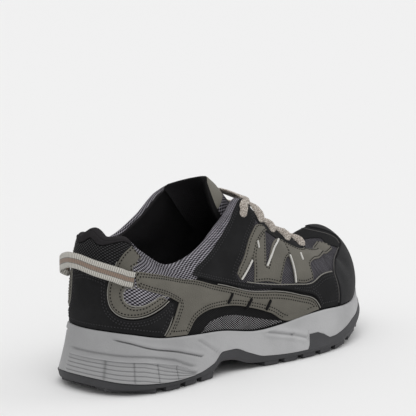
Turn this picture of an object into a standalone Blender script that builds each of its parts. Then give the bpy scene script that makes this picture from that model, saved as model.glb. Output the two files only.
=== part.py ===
"""Low safety sneaker, right foot, standing on its tread. Millimetres inside, metres in Blender.

+X runs from heel to toe, +Y to the inner (big toe) side and +Z up. Lengths along the shoe are
measured from the back of the sole and shifted at the end, so that the origin lies in the middle
of the heel tread's flat, on the floor.
"""

import bisect
import math

import bmesh
import bpy
import numpy as np
from mathutils import Vector
from mathutils.geometry import delaunay_2d_cdt

MM = 0.001

# Driving sizes of the shoe
LENGTH = 300.0
BALL_WIDTH = 96.0
HEEL_WIDTH = 75.0
HEEL_HEIGHT = 113.0
INSTEP_HEIGHT = 121.0
TOE_HEIGHT = 80.0
SIDEWALL_HEIGHT = 43.0
HEEL_SEAT = 0.23

# Thicknesses and clearances
WALL = 2.4
COLLAR_PAD = 6.5
OVERLAY = 1.2
RUBBER_CAP = 1.8
GAP = 0.35
LIP = 2.2
SOLE_EDGE = 5.0
GROOVE = 1.2
PAD_STEP = 0.8
RIB_DEPTH = 0.6
RIB_GAP = 0.7
NOTCH_RISE = 8.0
TONGUE_PAD = 5.0
INSOLE_THICKNESS = 4.0
INSOLE_CUP = 3.0
INSOLE_BEVEL = 8.0
LACE_WIDTH = 6.0
LACE_THICKNESS = 2.0
WEB_WIDTH = 11.0
WEB_THICKNESS = 1.6
WEB_CLEARANCE = 1.3

# One row for each section from the back of the heel to the tip of the toe. Lengths are shares of
# LENGTH, widths of HEEL_WIDTH or BALL_WIDTH, and tops of the height that the zone follows.
# low_out and low_up place the lower handle of the wall's curve, top_out and top_down the upper.
ROW = "zone xf yf zf xt yt zt low_out low_up top_out top_down".split()
OUTER_ROWS = [
    ("heel", 0.040, 0.000, 1.00, 0.057, 0.000, 0.978, 3.0, 0.30, 0.50, 0.25),
    ("heel", 0.048, -0.220, 1.00, 0.056, -0.170, 0.935, 3.0, 0.30, 0.50, 0.25),
    ("heel", 0.080, -0.405, 0.96, 0.083, -0.345, 0.938, 2.5, 0.32, 0.60, 0.25),
    ("heel", 0.150, -0.513, 0.85, 0.120, -0.407, 0.854, 4.0, 0.35, 0.60, 0.30),
    ("heel", 0.250, -0.527, 0.78, 0.200, -0.447, 0.739, 4.0, 0.35, 0.60, 0.30),
    ("heel", 0.350, -0.533, 0.73, 0.307, -0.420, 0.792, 3.0, 0.35, 0.50, 0.25),
    ("instep", 0.450, -0.453, 0.62, 0.400, -0.281, 0.888, 2.0, 0.35, 0.45, 0.15),
    ("instep", 0.527, -0.495, 0.65, 0.470, -0.229, 1.000, 1.5, 0.40, 0.40, 0.10),
    ("instep", 0.610, -0.521, 0.72, 0.550, -0.214, 0.831, 1.5, 0.45, 0.45, 0.08),
    ("instep", 0.683, -0.521, 0.74, 0.633, -0.203, 0.719, 2.0, 0.50, 0.50, 0.06),
    ("toe", 0.747, -0.495, 0.71, 0.697, -0.188, 0.981, 2.0, 0.55, 0.50, 0.04),
    ("toe", 0.800, -0.448, 0.69, 0.733, -0.115, 0.931, 3.0, 0.58, 0.52, 0.02),
    ("toe", 0.850, -0.375, 0.70, 0.747, 0.010, 0.919, 3.5, 0.60, 0.55, 0.00),
    ("toe", 0.910, -0.240, 0.78, 0.793, 0.052, 0.969, 4.0, 0.62, 0.58, 0.00),
    ("toe", 0.957, -0.073, 0.84, 0.833, 0.073, 1.000, 4.5, 0.64, 0.60, 0.00),
    ("toe", 0.980, 0.115, 0.86, 0.863, 0.083, 1.000, 4.5, 0.64, 0.60, 0.00),
]
INNER_ROWS = [
    OUTER_ROWS[0],
    ("heel", 0.048, 0.213, 1.00, 0.058, 0.165, 0.925, 2.5, 0.30, 0.50, 0.25),
    ("heel", 0.078, 0.375, 0.98, 0.092, 0.322, 0.918, 2.0, 0.32, 0.60, 0.25),
    ("heel", 0.150, 0.467, 0.91, 0.140, 0.387, 0.885, 4.0, 0.35, 0.60, 0.30),
    ("heel", 0.250, 0.473, 0.86, 0.207, 0.413, 0.841, 4.0, 0.35, 0.60, 0.30),
    ("heel", 0.350, 0.447, 0.85, 0.287, 0.393, 0.947, 3.0, 0.35, 0.50, 0.25),
    ("instep", 0.450, 0.370, 0.81, 0.353, 0.271, 1.025, 2.0, 0.35, 0.45, 0.15),
    ("instep", 0.527, 0.422, 0.78, 0.420, 0.219, 1.062, 1.5, 0.40, 0.40, 0.10),
    ("instep", 0.610, 0.469, 0.74, 0.527, 0.214, 0.884, 1.5, 0.45, 0.45, 0.08),
    ("instep", 0.683, 0.490, 0.72, 0.623, 0.208, 0.748, 2.0, 0.50, 0.50, 0.06),
    ("toe", 0.747, 0.490, 0.70, 0.693, 0.198, 0.994, 2.0, 0.55, 0.50, 0.04),
    ("toe", 0.800, 0.478, 0.69, 0.732, 0.130, 0.938, 3.0, 0.58, 0.52, 0.02),
    ("toe", 0.850, 0.450, 0.70, 0.747, 0.010, 0.919, 3.5, 0.60, 0.55, 0.00),
    ("toe", 0.913, 0.388, 0.77, 0.793, 0.052, 0.969, 4.0, 0.62, 0.58, 0.00),
    ("toe", 0.962, 0.270, 0.84, 0.833, 0.073, 1.000, 4.5, 0.64, 0.60, 0.00),
    OUTER_ROWS[-1],
]
THROAT_END = 12
TOE_TIP = 15
RING = 2 * TOE_TIP
WIDTHS = {"heel": HEEL_WIDTH, "instep": BALL_WIDTH, "toe": BALL_WIDTH}
HEIGHTS = {"heel": HEEL_HEIGHT, "instep": INSTEP_HEIGHT, "toe": TOE_HEIGHT}


def row_in_mm(row):
    """A section's foot point, top point and handles, in millimetres."""
    r = dict(zip(ROW, row))
    width, height = WIDTHS[r["zone"]], HEIGHTS[r["zone"]]
    foot = [r["xf"] * LENGTH, r["yf"] * width, r["zf"] * SIDEWALL_HEIGHT]
    top = [r["xt"] * LENGTH, r["yt"] * width, r["zt"] * height]
    return np.array(foot + top + [r["low_out"], r["low_up"], r["top_out"], r["top_down"]])


SECTIONS = np.array([row_in_mm(r) for r in OUTER_ROWS + INNER_ROWS[-2:0:-1]])


def section(q):
    """The section at ring place q: 0 is the heel's back, 15 the toe's tip, 30 the heel again."""
    q = q % RING
    i = int(math.floor(q))
    t = q - i
    a, b, c, d = (SECTIONS[(i + k) % RING] for k in (-1, 0, 1, 2))
    return 0.5 * (
        2 * b + (c - a) * t + (2 * a - 5 * b + 4 * c - d) * t**2 + (3 * b - a - 3 * c + d) * t**3
    )


def wall_section(q):
    """A section whose top lies on the ridge that both sides share, ahead of the throat."""
    s = section(q)
    if THROAT_END <= q % RING <= RING - THROAT_END:
        s[3:6] = 0.5 * (s[3:6] + section(RING - q)[3:6])
    return s


def last_point(q, v):
    """A point on the upper's outer face: v is 0 at the sole's edge and 1 at the top edge."""
    s = wall_section(q)
    foot, top = s[0:3], s[3:6]
    out = foot[:2] - top[:2]
    reach = np.linalg.norm(out)
    out = np.array([*(out / reach), 0.0])
    rise = np.array([0.0, 0.0, top[2] - foot[2]])
    low = foot + out * s[6] + rise * s[7]
    high = top + out * reach * s[8] - rise * s[9]
    u = 1.0 - v
    return u**3 * foot + 3 * u * u * v * low + 3 * u * v * v * high + v**3 * top


def last_normal(q, v):
    step = 0.02
    v0, v1 = max(0.0, v - step), min(1.0, v + step)
    below_ridge = min(v, 1.0 - step)
    along = last_point(q + step, below_ridge) - last_point(q - step, below_ridge)
    up = last_point(q, v1) - last_point(q, v0)
    n = np.cross(along, up)
    return n / np.linalg.norm(n)


def skin(q, v, lift):
    """A point lifted off the upper's outer face, outwards if lift is positive."""
    return last_point(q, v) + last_normal(q, v) * lift


def ease(t):
    t = min(1.0, max(0.0, t))
    return t * t * (3 - 2 * t)


def side_place(q):
    """How far from the heel's back q lies on its own side, 0 to 15."""
    q = q % RING
    return min(q, RING - q)


def wall_thickness(q, v):
    """The collar is padded, and the rest is one thin wall."""
    padded = ease((6.9 - side_place(q)) / 1.5) * ease((v - 0.45) / 0.4)
    return WALL + (COLLAR_PAD - WALL) * padded


def to_world(p):
    return Vector(((p[0] - HEEL_SEAT * LENGTH) * MM, p[1] * MM, p[2] * MM))


def smooth_value(table, x):
    """A monotone cubic through (place, value) rows."""
    xs = [r[0] for r in table]
    ys = [r[1] for r in table]
    if x <= xs[0]:
        return ys[0]
    if x >= xs[-1]:
        return ys[-1]
    slopes = [(ys[i + 1] - ys[i]) / (xs[i + 1] - xs[i]) for i in range(len(xs) - 1)]
    i = max(k for k in range(len(xs) - 1) if xs[k] <= x)

    def tangent(k):
        if k == 0 or k == len(xs) - 1:
            return slopes[0] if k == 0 else slopes[-1]
        a, b = slopes[k - 1], slopes[k]
        return 0.0 if a * b <= 0 else 2 * a * b / (a + b)

    h = xs[i + 1] - xs[i]
    t = (x - xs[i]) / h
    return (
        (2 * t**3 - 3 * t**2 + 1) * ys[i]
        + (t**3 - 2 * t**2 + t) * h * tangent(i)
        + (3 * t**2 - 2 * t**3) * ys[i + 1]
        + (t**3 - t**2) * h * tangent(i + 1)
    )


def material(name, colour, roughness, metallic=0.0):
    made = bpy.data.materials.new(name)
    made.use_nodes = True
    shader = made.node_tree.nodes["Principled BSDF"]
    shader.inputs["Base Color"].default_value = (*colour, 1.0)
    shader.inputs["Roughness"].default_value = roughness
    shader.inputs["Metallic"].default_value = metallic
    return made


def add_object(name, points, faces, made_of, ribbed=()):
    """A closed mesh from points in millimetres; the ribbed faces become raised blocks."""
    bm = bmesh.new()
    verts = [bm.verts.new(to_world(p)) for p in points]
    made = [bm.faces.new([verts[i] for i in f]) for f in faces]
    bmesh.ops.remove_doubles(bm, verts=bm.verts, dist=1e-6)
    bmesh.ops.dissolve_degenerate(bm, edges=bm.edges, dist=1e-7)
    bmesh.ops.recalc_face_normals(bm, faces=bm.faces)
    if bm.calc_volume(signed=True) < 0:
        bmesh.ops.reverse_faces(bm, faces=bm.faces)
    blocks = [made[i] for i in ribbed]
    if blocks:
        bmesh.ops.inset_individual(bm, faces=blocks, thickness=RIB_GAP / 2 * MM, depth=RIB_DEPTH * MM)
    mesh = bpy.data.meshes.new(name)
    bm.to_mesh(mesh)
    bm.free()
    mesh.shade_smooth()
    mesh.set_sharp_from_angle(angle=math.radians(40))
    mesh.materials.append(made_of)
    obj = bpy.data.objects.new(name, mesh)
    bpy.context.scene.collection.objects.link(obj)
    return obj


def foot_normal(q):
    """The horizontal direction out of the shoe at the foot of the wall."""
    step = 0.02
    run = section(q + step)[:2] - section(q - step)[:2]
    n = np.array([run[1], -run[0], 0.0])
    return n / np.linalg.norm(n)


def foot_point(q, out, z):
    """A point out from the foot of the wall at height z."""
    foot = section(q)[:2]
    n = foot_normal(q)
    return np.array([foot[0] + n[0] * out, foot[1] + n[1] * out, z])


# Stations round the shoe
OPEN_STATIONS = 25
CLOSED_STATIONS = 7
WALL_ROWS = 7
RIM_STEPS = 3
RIM_SWELL = 0.8


def even_places(q0, q1, count):
    """Places from q0 to q1, evenly spaced along the mean of the foot line and the top line."""
    fine = np.linspace(q0, q1, 241)
    line = np.array([0.5 * (wall_section(q)[0:3] + wall_section(q)[3:6]) for q in fine])
    run = np.concatenate([[0], np.cumsum(np.linalg.norm(np.diff(line, axis=0), axis=1))])
    return [float(q) for q in np.interp(np.linspace(0, run[-1], count + 1), run, fine)]


def both_sides(places):
    return places + [RING - q for q in places[-2:0:-1]]


OUTER_PLACES = even_places(0, THROAT_END, OPEN_STATIONS)[:-1]
OUTER_PLACES += even_places(THROAT_END, TOE_TIP, CLOSED_STATIONS)
RING_PLACES = both_sides(OUTER_PLACES)
HEIGHT_SHARES = [j / WALL_ROWS for j in range(WALL_ROWS + 1)]

# Height of the foot bed above the floor: place as a share of LENGTH, height of SIDEWALL_HEIGHT
FOOT_BED = [
    (0.00, 0.76),
    (0.12, 0.74),
    (0.30, 0.62),
    (0.45, 0.47),
    (0.62, 0.43),
    (0.80, 0.50),
    (0.90, 0.60),
    (1.00, 0.72),
]


def foot_bed(x):
    return SIDEWALL_HEIGHT * smooth_value(FOOT_BED, x / LENGTH)


def build_upper(made_of):
    points, faces = [], []
    outer, inner = {}, {}

    def add(p):
        points.append(p)
        return len(points) - 1

    for k, q in enumerate(RING_PLACES):
        floor = foot_bed(last_point(q, 0)[0]) + GAP
        outer[k, -1] = add(foot_point(q, 0, floor))
        inner[k, -1] = add(foot_point(q, -WALL, floor))
        for j, v in enumerate(HEIGHT_SHARES):
            face = last_point(q, v)
            normal = foot_normal(q) if j == 0 else last_normal(q, v)
            outer[k, j] = add(face)
            inner[k, j] = add(face - normal * wall_thickness(q, v))
    join_ridge(points, outer, inner)
    count = len(RING_PLACES)
    for k in range(count):
        m = (k + 1) % count
        for j in range(-1, WALL_ROWS):
            faces += [(outer[k, j], outer[m, j], outer[m, j + 1])]
            faces += [(outer[k, j], outer[m, j + 1], outer[k, j + 1])]
            faces += [(inner[k, j], inner[m, j + 1], inner[m, j])]
            faces += [(inner[k, j], inner[k, j + 1], inner[m, j + 1])]
        faces.append((outer[k, -1], inner[k, -1], inner[m, -1], outer[m, -1]))
        middle = 0.5 * (RING_PLACES[k] + (RING_PLACES[m] or RING))
        if side_place(middle) < THROAT_END:
            faces += rim_faces(points, outer, inner, k, m)
    return add_object("upper", points, faces, made_of)


def at_ridge(q):
    return side_place(q) >= THROAT_END - 1e-6


def rim_faces(points, outer, inner, k, m):
    """The rounded top edge between the outer and inner face, from station k to m."""
    lines = []
    for s in (k, m):
        o, i = points[outer[s, WALL_ROWS]], points[inner[s, WALL_ROWS]]
        below = points[outer[s, WALL_ROWS - 1]]
        up = (o - below) / np.linalg.norm(o - below)
        centre, half = 0.5 * (o + i), 0.5 * (o - i)
        line = [outer[s, WALL_ROWS]]
        for r in range(1, RIM_STEPS):
            turn = math.pi * r / RIM_STEPS
            swell = 0.0 if at_ridge(RING_PLACES[s]) else RIM_SWELL * np.linalg.norm(half)
            points.append(centre + half * math.cos(turn) + up * swell * math.sin(turn))
            line.append(len(points) - 1)
        line.append(inner[s, WALL_ROWS])
        lines.append(line)
    a, b = lines
    return [(a[r], b[r], b[r + 1], a[r + 1]) for r in range(RIM_STEPS)]


def join_ridge(points, outer, inner):
    """Ahead of the throat both sides share their top points."""
    count = len(RING_PLACES)
    for k in range(1, count // 2):
        if at_ridge(RING_PLACES[k]):
            for layer in (outer, inner):
                a, b = layer[k, WALL_ROWS], layer[count - k, WALL_ROWS]
                points[a] = points[b] = 0.5 * (points[a] + points[b])


# One row for each place along the sole, heel to toe. x is a share of LENGTH. tread is the lowest
# edge, rubber the underside between the lugs and joint the line between foam and rubber, as
# shares of SIDEWALL_HEIGHT. flare is how far the side spreads, a share of HEEL_WIDTH. groove and
# pad are the side's groove and the top of its ribbed pad, as shares of the way down the side.
SOLE_COLUMNS = "x tread rubber joint flare groove pad".split()
SOLE_ROWS = [
    (0.000, 0.210, 0.240, 0.36, 0.105, 0.10, 0.66),
    (0.035, 0.105, 0.150, 0.29, 0.100, 0.12, 0.55),
    (0.070, 0.035, 0.090, 0.21, 0.090, 0.17, 0.52),
    (0.110, 0.000, 0.080, 0.17, 0.085, 0.24, 0.50),
    (0.170, 0.000, 0.080, 0.15, 0.080, 0.31, 0.58),
    (0.240, 0.000, 0.080, 0.16, 0.065, 0.50, 0.86),
    (0.305, 0.000, 0.120, 0.26, 0.050, 0.73, 0.95),
    (0.337, 0.245, 0.245, 0.41, 0.040, 0.74, 0.95),
    (0.377, 0.220, 0.220, 0.41, 0.033, 0.74, 0.95),
    (0.425, 0.110, 0.110, 0.29, 0.033, 0.74, 0.95),
    (0.470, 0.000, 0.080, 0.19, 0.040, 0.74, 0.95),
    (0.580, 0.000, 0.080, 0.15, 0.050, 0.74, 0.95),
    (0.660, 0.000, 0.080, 0.16, 0.055, 0.74, 0.95),
    (0.725, 0.000, 0.090, 0.19, 0.055, 0.74, 0.95),
    (0.810, 0.130, 0.210, 0.31, 0.050, 0.74, 0.95),
    (0.880, 0.270, 0.340, 0.42, 0.040, 0.74, 0.95),
    (0.940, 0.400, 0.460, 0.53, 0.028, 0.74, 0.95),
    (1.000, 0.510, 0.550, 0.61, 0.020, 0.74, 0.95),
]
SOLE_TABLE = {c: [(r[0], r[i]) for r in SOLE_ROWS] for i, c in enumerate(SOLE_COLUMNS)}
GROOVE_SPAN = (0.075, 0.29)
GROOVE_HALF = 0.035
PAD_SPAN = (0.035, 0.235)
PAD_END = 0.97
FADE = 0.03
PAD_COURSES = 4
LIP_END = 0.04
SIDE_BULGE = 1.4
RUBBER_TAPER = 0.8
NOTCH = [(0.637, 0.0), (0.650, 1.0), (0.677, 1.0), (0.690, 0.0)]


def sole_share(column, x):
    return smooth_value(SOLE_TABLE[column], x / LENGTH)


def sole_height(column, x):
    return SIDEWALL_HEIGHT * sole_share(column, x)


def notch(x):
    """The rubber's tab up the side of the foam."""
    return NOTCH_RISE * float(np.interp(x / LENGTH, *zip(*NOTCH)))


def side_point(q, share):
    """A point on the sole's side: share 0 is the top of the lip and 1 the joint with the rubber."""
    foot = section(q)
    x = foot[0]
    joint = sole_height("joint", x)
    z = foot[2] + (joint - foot[2]) * share
    spread = HEEL_WIDTH * sole_share("flare", x) * share**SIDE_BULGE
    return foot_point(q, GAP + LIP + spread, z)


def places_at(shares, side_start=0):
    """Ring places on the outer side whose foot lies at these shares of LENGTH."""
    fine = np.linspace(side_start, TOE_TIP, 601)
    xs = np.maximum.accumulate([section(q)[0] for q in fine])
    return [float(np.interp(s * LENGTH, xs, fine)) for s in shares]


def sole_places():
    marks = places_at([n[0] for n in NOTCH])
    kept = [q for q in OUTER_PLACES if min(abs(q - m) for m in marks) > 0.12]
    return both_sides(sorted(kept + marks))


SOLE_PLACES = sole_places()


def ring_solid(name, rings, made_of, ribs=()):
    """A solid from closed rings of equal count, its first and last ring closed straight across."""
    count = len(rings[0])
    points = [p for ring in rings for p in ring]
    faces, ribbed = [], []
    for r in range(len(rings) - 1):
        for k in range(count):
            m = (k + 1) % count
            a, b, c, d = r * count + k, r * count + m, (r + 1) * count + m, (r + 1) * count + k
            if (r, k) in ribs:
                ribbed.append(len(faces))
                faces.append((a, b, c, d))
            else:
                faces += [(a, b, c), (a, c, d)]
    for base in (0, (len(rings) - 1) * count):
        for k in range(count // 2):
            a, b = base + k, base + k + 1
            c, d = base + (count - k - 1) % count, base + (count - k) % count
            faces += [(a, b, c)] if a == d else [(a, b, d)] if b == c else [(a, b, c), (a, c, d)]
    return add_object(name, points, faces, made_of, ribbed)


def build_midsole(made_of):
    courses = [("side", LIP_END, 0.0), ("groove", -GROOVE_HALF, 0.0), ("groove", 0.0, -GROOVE)]
    courses += [("groove", GROOVE_HALF, 0.0), ("pad", -0.03, 0.0)]
    courses += [("pad", c / PAD_COURSES, PAD_STEP) for c in range(PAD_COURSES)]

    def course_point(q, course):
        kind, place, step = course
        x = section(q)[0]
        if kind == "side":
            share, out = place, 0.0
        elif kind == "groove":
            share = sole_share("groove", x) + place
            ends = min(x / LENGTH - GROOVE_SPAN[0], GROOVE_SPAN[1] - x / LENGTH)
            out = step * ease(ends / FADE + 0.5)
        else:
            top = sole_share("pad", x)
            share = top + place if place < 0 else top + (PAD_END - top) * place
            out = step * ease((PAD_SPAN[1] - x / LENGTH) / FADE + 0.7)
        return side_point(q, share) + foot_normal(q) * out

    rings = [
        [foot_point(q, GAP, foot_bed(section(q)[0])) for q in SOLE_PLACES],
        [foot_point(q, GAP, section(q)[2]) for q in SOLE_PLACES],
        [foot_point(q, GAP + 0.7 * LIP, section(q)[2]) for q in SOLE_PLACES],
    ]
    rings += [[course_point(q, c) for q in SOLE_PLACES] for c in courses]
    pad_row = len(rings) - PAD_COURSES
    rings.append([joint_edge(q, 0.0) for q in SOLE_PLACES])
    rings.append([joint_inner(q, 0.0) for q in SOLE_PLACES])
    ribs = set()
    for k, q in enumerate(SOLE_PLACES):
        ends = [section(p)[0] / LENGTH for p in (q, SOLE_PLACES[(k + 1) % len(SOLE_PLACES)])]
        if PAD_SPAN[0] <= min(ends) and max(ends) <= PAD_SPAN[1]:
            ribs |= {(pad_row + c, k) for c in range(PAD_COURSES - 1)}
    return ring_solid("midsole", rings, made_of, ribs)


def joint_edge(q, drop):
    p = side_point(q, 1.0)
    return p + np.array([0.0, 0.0, notch(p[0]) - drop])


def joint_inner(q, drop):
    p = side_point(q, 1.0) - foot_normal(q) * SOLE_EDGE
    p[2] -= drop
    return p


def rubber_edge(q):
    p = side_point(q, 1.0)
    under = np.array([p[0], p[1], sole_height("rubber", section(q)[0])])
    return under - foot_normal(q) * RUBBER_TAPER


# Each tread row runs from one share of LENGTH to the other, in blocks across the sole
TREAD_ROWS = [
    (0.052, 0.125),
    (0.148, 0.188),
    (0.205, 0.245),
    (0.262, 0.305),
    (0.475, 0.515),
    (0.533, 0.575),
    (0.593, 0.635),
    (0.653, 0.695),
    (0.713, 0.757),
    (0.777, 0.822),
    (0.842, 0.884),
    (0.905, 0.945),
]
TREAD_BLOCKS = [(0.004, 0.25), (0.31, 0.5, 0.69), (0.75, 0.996)]
CHEVRON = 0.013
LUG_ROOT = 1.0


def across(q, s, column, lift):
    """A point under the sole, s of the way from the outer to the inner side, at a column's height."""
    p = rubber_edge(q) * (1 - s) + rubber_edge(RING - q) * s
    heights = [sole_height(column, section(side)[0]) for side in (q, RING - q)]
    return np.array([p[0], p[1], heights[0] * (1 - s) + heights[1] * s + lift])


def build_outsole(made_of):
    rings = [
        [joint_inner(q, GAP) for q in SOLE_PLACES],
        [joint_edge(q, GAP) for q in SOLE_PLACES],
        [rubber_edge(q) for q in SOLE_PLACES],
    ]
    sheet = ring_solid("outsole", rings, made_of)
    points, faces = [], []
    for start, end in TREAD_ROWS:
        for block in TREAD_BLOCKS:
            back, front = [], []
            for s in block:
                shift = CHEVRON if s == 0.5 else 0.0
                q0, q1 = places_at([start + shift, end + shift])
                back.append((q0, s))
                front.append((q1, s))
            outline = back + front[::-1]
            n, base = len(outline), len(points)
            points += [across(q, s, "rubber", LUG_ROOT) for q, s in outline]
            points += [across(q, s, "tread", 0.0) for q, s in outline]
            faces.append(tuple(base + i for i in range(n)))
            faces.append(tuple(base + n + i for i in reversed(range(n))))
            faces += [
                (base + i, base + n + i, base + n + (i + 1) % n, base + (i + 1) % n) for i in range(n)
            ]
    lugs = add_object("lugs", points, faces, made_of)
    lugs.hide_render = True
    lugs.display_type = "WIRE"
    join = sheet.modifiers.new("lugs", "BOOLEAN")
    join.operation = "UNION"
    join.object = lugs
    return sheet


def build_insole(made_of):
    edge = -(WALL + GAP)

    def ring(out, rise):
        return [foot_point(q, out, foot_bed(section(q)[0]) + rise) for q in RING_PLACES]

    top = GAP + INSOLE_THICKNESS
    rings = [ring(edge, GAP), ring(edge, top + INSOLE_CUP), ring(edge - INSOLE_BEVEL, top)]
    return ring_solid("insole", rings, made_of)


# The tongue from under the vamp to its free top: its middle line's x as a share of LENGTH and z of
# INSTEP_HEIGHT, then half its width, how far its edges wrap back and how much the outer edge
# stands above the inner one, as shares of BALL_WIDTH. wrap is that turn's angle from straight down.
TONGUE_COLUMNS = "x z half fall tilt wrap".split()
TONGUE_ROWS = [
    (0.743, 0.555, 0.150, 0.03, 0.00, 35),
    (0.700, 0.602, 0.175, 0.05, 0.00, 35),
    (0.650, 0.668, 0.205, 0.09, 0.00, 36),
    (0.597, 0.755, 0.225, 0.15, 0.00, 40),
    (0.543, 0.858, 0.225, 0.22, 0.00, 46),
    (0.503, 0.950, 0.215, 0.26, 0.00, 50),
    (0.470, 1.030, 0.210, 0.25, 0.02, 56),
    (0.437, 1.088, 0.220, 0.20, 0.06, 66),
    (0.400, 1.130, 0.240, 0.13, 0.11, 80),
]
TONGUE_STEPS = [-1.0, -0.94, -0.7, -0.36, 0.0, 0.36, 0.7, 0.94, 1.0]
TONGUE_CURVE = 2.6


def tongue_section(row):
    """The front and back face of one section, from its outer to its inner edge."""
    r = dict(zip(TONGUE_COLUMNS, row))
    middle = np.array([r["x"] * LENGTH, 0.0, r["z"] * INSTEP_HEIGHT])
    half, fall, tilt = (r[c] * BALL_WIDTH for c in ("half", "fall", "tilt"))
    turn = math.radians(r["wrap"])
    back_way = np.array([-math.sin(turn), 0.0, -math.cos(turn)])
    front, back = [], []
    for s in TONGUE_STEPS:
        drop = fall * abs(s) ** TONGUE_CURVE
        slope = math.copysign(TONGUE_CURVE * fall * abs(s) ** (TONGUE_CURVE - 1), s)
        face = middle + np.array([0.0, half * s, -0.5 * tilt * s]) + back_way * drop
        out = np.array([0.0, slope, 0.0]) - back_way * half
        out /= np.linalg.norm(out)
        edge = TONGUE_PAD * 0.35 * abs(s) ** 8
        front.append(face - out * edge)
        back.append(face - out * (edge + TONGUE_PAD * max(0.3, 1 - s**6)))
    return front + back[::-1]


def build_tongue(made_of):
    per = 2 * len(TONGUE_STEPS)
    points = [p for row in TONGUE_ROWS for p in tongue_section(row)]
    count = len(TONGUE_ROWS)
    faces = []
    for i in range(count - 1):
        for k in range(per):
            m = (k + 1) % per
            faces.append((i * per + k, i * per + m, (i + 1) * per + m, (i + 1) * per + k))
    for base in (0, (count - 1) * per):
        for k in range(len(TONGUE_STEPS) - 1):
            faces.append((base + k, base + k + 1, base + per - 2 - k, base + per - 1 - k))
    return add_object("tongue", points, faces, made_of)


STRIP_SHAPE = [(-1, 0), (-0.8, -1), (0.8, -1), (1, 0), (0.8, 1), (-0.8, 1)]


def ribbon(path, width, thickness):
    """Points and faces of a flat strip; the path's entries are a place and its own normal."""
    places = np.array([place for place, normal in path])
    runs = np.gradient(places, axis=0)
    points, faces = [], []
    for (place, normal), run in zip(path, runs):
        side = np.cross(run / np.linalg.norm(run), normal)
        side /= np.linalg.norm(side)
        normal = normal / np.linalg.norm(normal)
        for a, b in STRIP_SHAPE:
            points.append(place + side * a * width / 2 + normal * b * thickness / 2)
    per, count = len(STRIP_SHAPE), len(places)
    for i in range(count - 1):
        for k in range(per):
            m = (k + 1) % per
            faces.append((i * per + k, i * per + m, (i + 1) * per + m, (i + 1) * per + k))
    faces.append(tuple(range(per)))
    faces.append(tuple((count - 1) * per + k for k in range(per)))
    return points, faces


def curve_through(knots, steps):
    """A smooth curve through knots, with steps points for each stretch."""
    knots = np.array(knots, dtype=float)
    padded = np.vstack([2 * knots[0] - knots[1], knots, 2 * knots[-1] - knots[-2]])
    found = []
    for i in range(len(knots) - 1):
        a, b, c, d = padded[i : i + 4]
        for t in np.arange(steps) / steps:
            found.append(
                0.5
                * (
                    2 * b
                    + (c - a) * t
                    + (2 * a - 5 * b + 4 * c - d) * t**2
                    + (3 * b - a - 3 * c + d) * t**3
                )
            )
    return found + [knots[-1]]


# The pull loop, from its outer end round the back to its inner end: x a share of LENGTH, y of
# HEEL_WIDTH and z of HEEL_HEIGHT
PULL_LOOP = [
    (0.045, -0.37, 0.745),
    (0.014, -0.22, 0.785),
    (0.000, -0.08, 0.815),
    (-0.003, 0.00, 0.820),
    (0.000, 0.08, 0.815),
    (0.014, 0.22, 0.785),
    (0.045, 0.37, 0.745),
]
LOOP_ENDS = [(2.12, 0.57), (1.85, 0.575)]


def build_pull_loop(made_of):
    lift = OVERLAY + GAP + WEB_CLEARANCE + WEB_THICKNESS / 2
    free = [(x * LENGTH, y * HEEL_WIDTH, z * HEEL_HEIGHT) for x, y, z in PULL_LOOP]
    knots = [skin(q, v, lift) for q, v in LOOP_ENDS] + free
    knots += [skin(RING - q, v, lift) for q, v in LOOP_ENDS[::-1]]
    line = curve_through(knots, 2)
    runs = np.gradient(np.array(line), axis=0)
    path = [(p, np.array([-run[1], run[0], 0.0])) for p, run in zip(line, runs)]
    points, faces = ribbon(path, WEB_WIDTH, WEB_THICKNESS)
    return add_object("pull_loop", points, faces, made_of)


# Where the lace passes the eyestay: ring place on the outer side and share up the wall
EYELETS = [(7.25, 0.93), (7.85, 0.93), (8.5, 0.93), (9.2, 0.93), (9.95, 0.92)]
INNER_EYELETS = [(22.35, 0.93), (21.9, 0.93), (21.33, 0.93), (20.67, 0.93), (20.0, 0.92)]
LACE_LIFT = OVERLAY + 2 * GAP
LACE_ARCH = 3.5
LACE_STACK = 0.25
LACE_SHOULDER = 0.28
SHOULDER_RISE = 0.75


def lace_path(start, end, layer):
    """From one eyelet over the throat to the other, with the lace's own normals."""
    lift = LACE_LIFT + LACE_THICKNESS / 2 + layer * LACE_STACK
    a, b = skin(*start, lift), skin(*end, lift)
    up = np.array([0.0, 0.0, LACE_ARCH])
    near = a + (b - a) * LACE_SHOULDER + SHOULDER_RISE * up
    far = b + (a - b) * LACE_SHOULDER + SHOULDER_RISE * up
    knots = [a, near, 0.5 * (a + b) + up, far, b]
    line = curve_through(knots, 2)
    run = knots[-1] - knots[0]
    along_throat = np.array([-1.0, 0.0, 0.72])
    normal = np.cross(run, along_throat)
    normal = normal if normal[2] > 0 else -normal
    return [(p, normal) for p in line]


def build_lace(made_of):
    pairs = [(EYELETS[0], INNER_EYELETS[0])]
    for i in range(len(EYELETS) - 1):
        pairs.append((EYELETS[i], INNER_EYELETS[i + 1]))
        pairs.append((EYELETS[i + 1], INNER_EYELETS[i]))
    pieces = []
    for i, (start, end) in enumerate(pairs):
        points, faces = ribbon(lace_path(start, end, i % 3), LACE_WIDTH, LACE_THICKNESS)
        pieces.append(add_object("lace" if i == 0 else f"crossing{i}", points, faces, made_of))
    for other in pieces[1:]:
        other.hide_render = True
        other.display_type = "WIRE"
        join = pieces[0].modifiers.new(other.name, "BOOLEAN")
        join.operation = "UNION"
        join.object = other
    return pieces[0]


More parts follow.
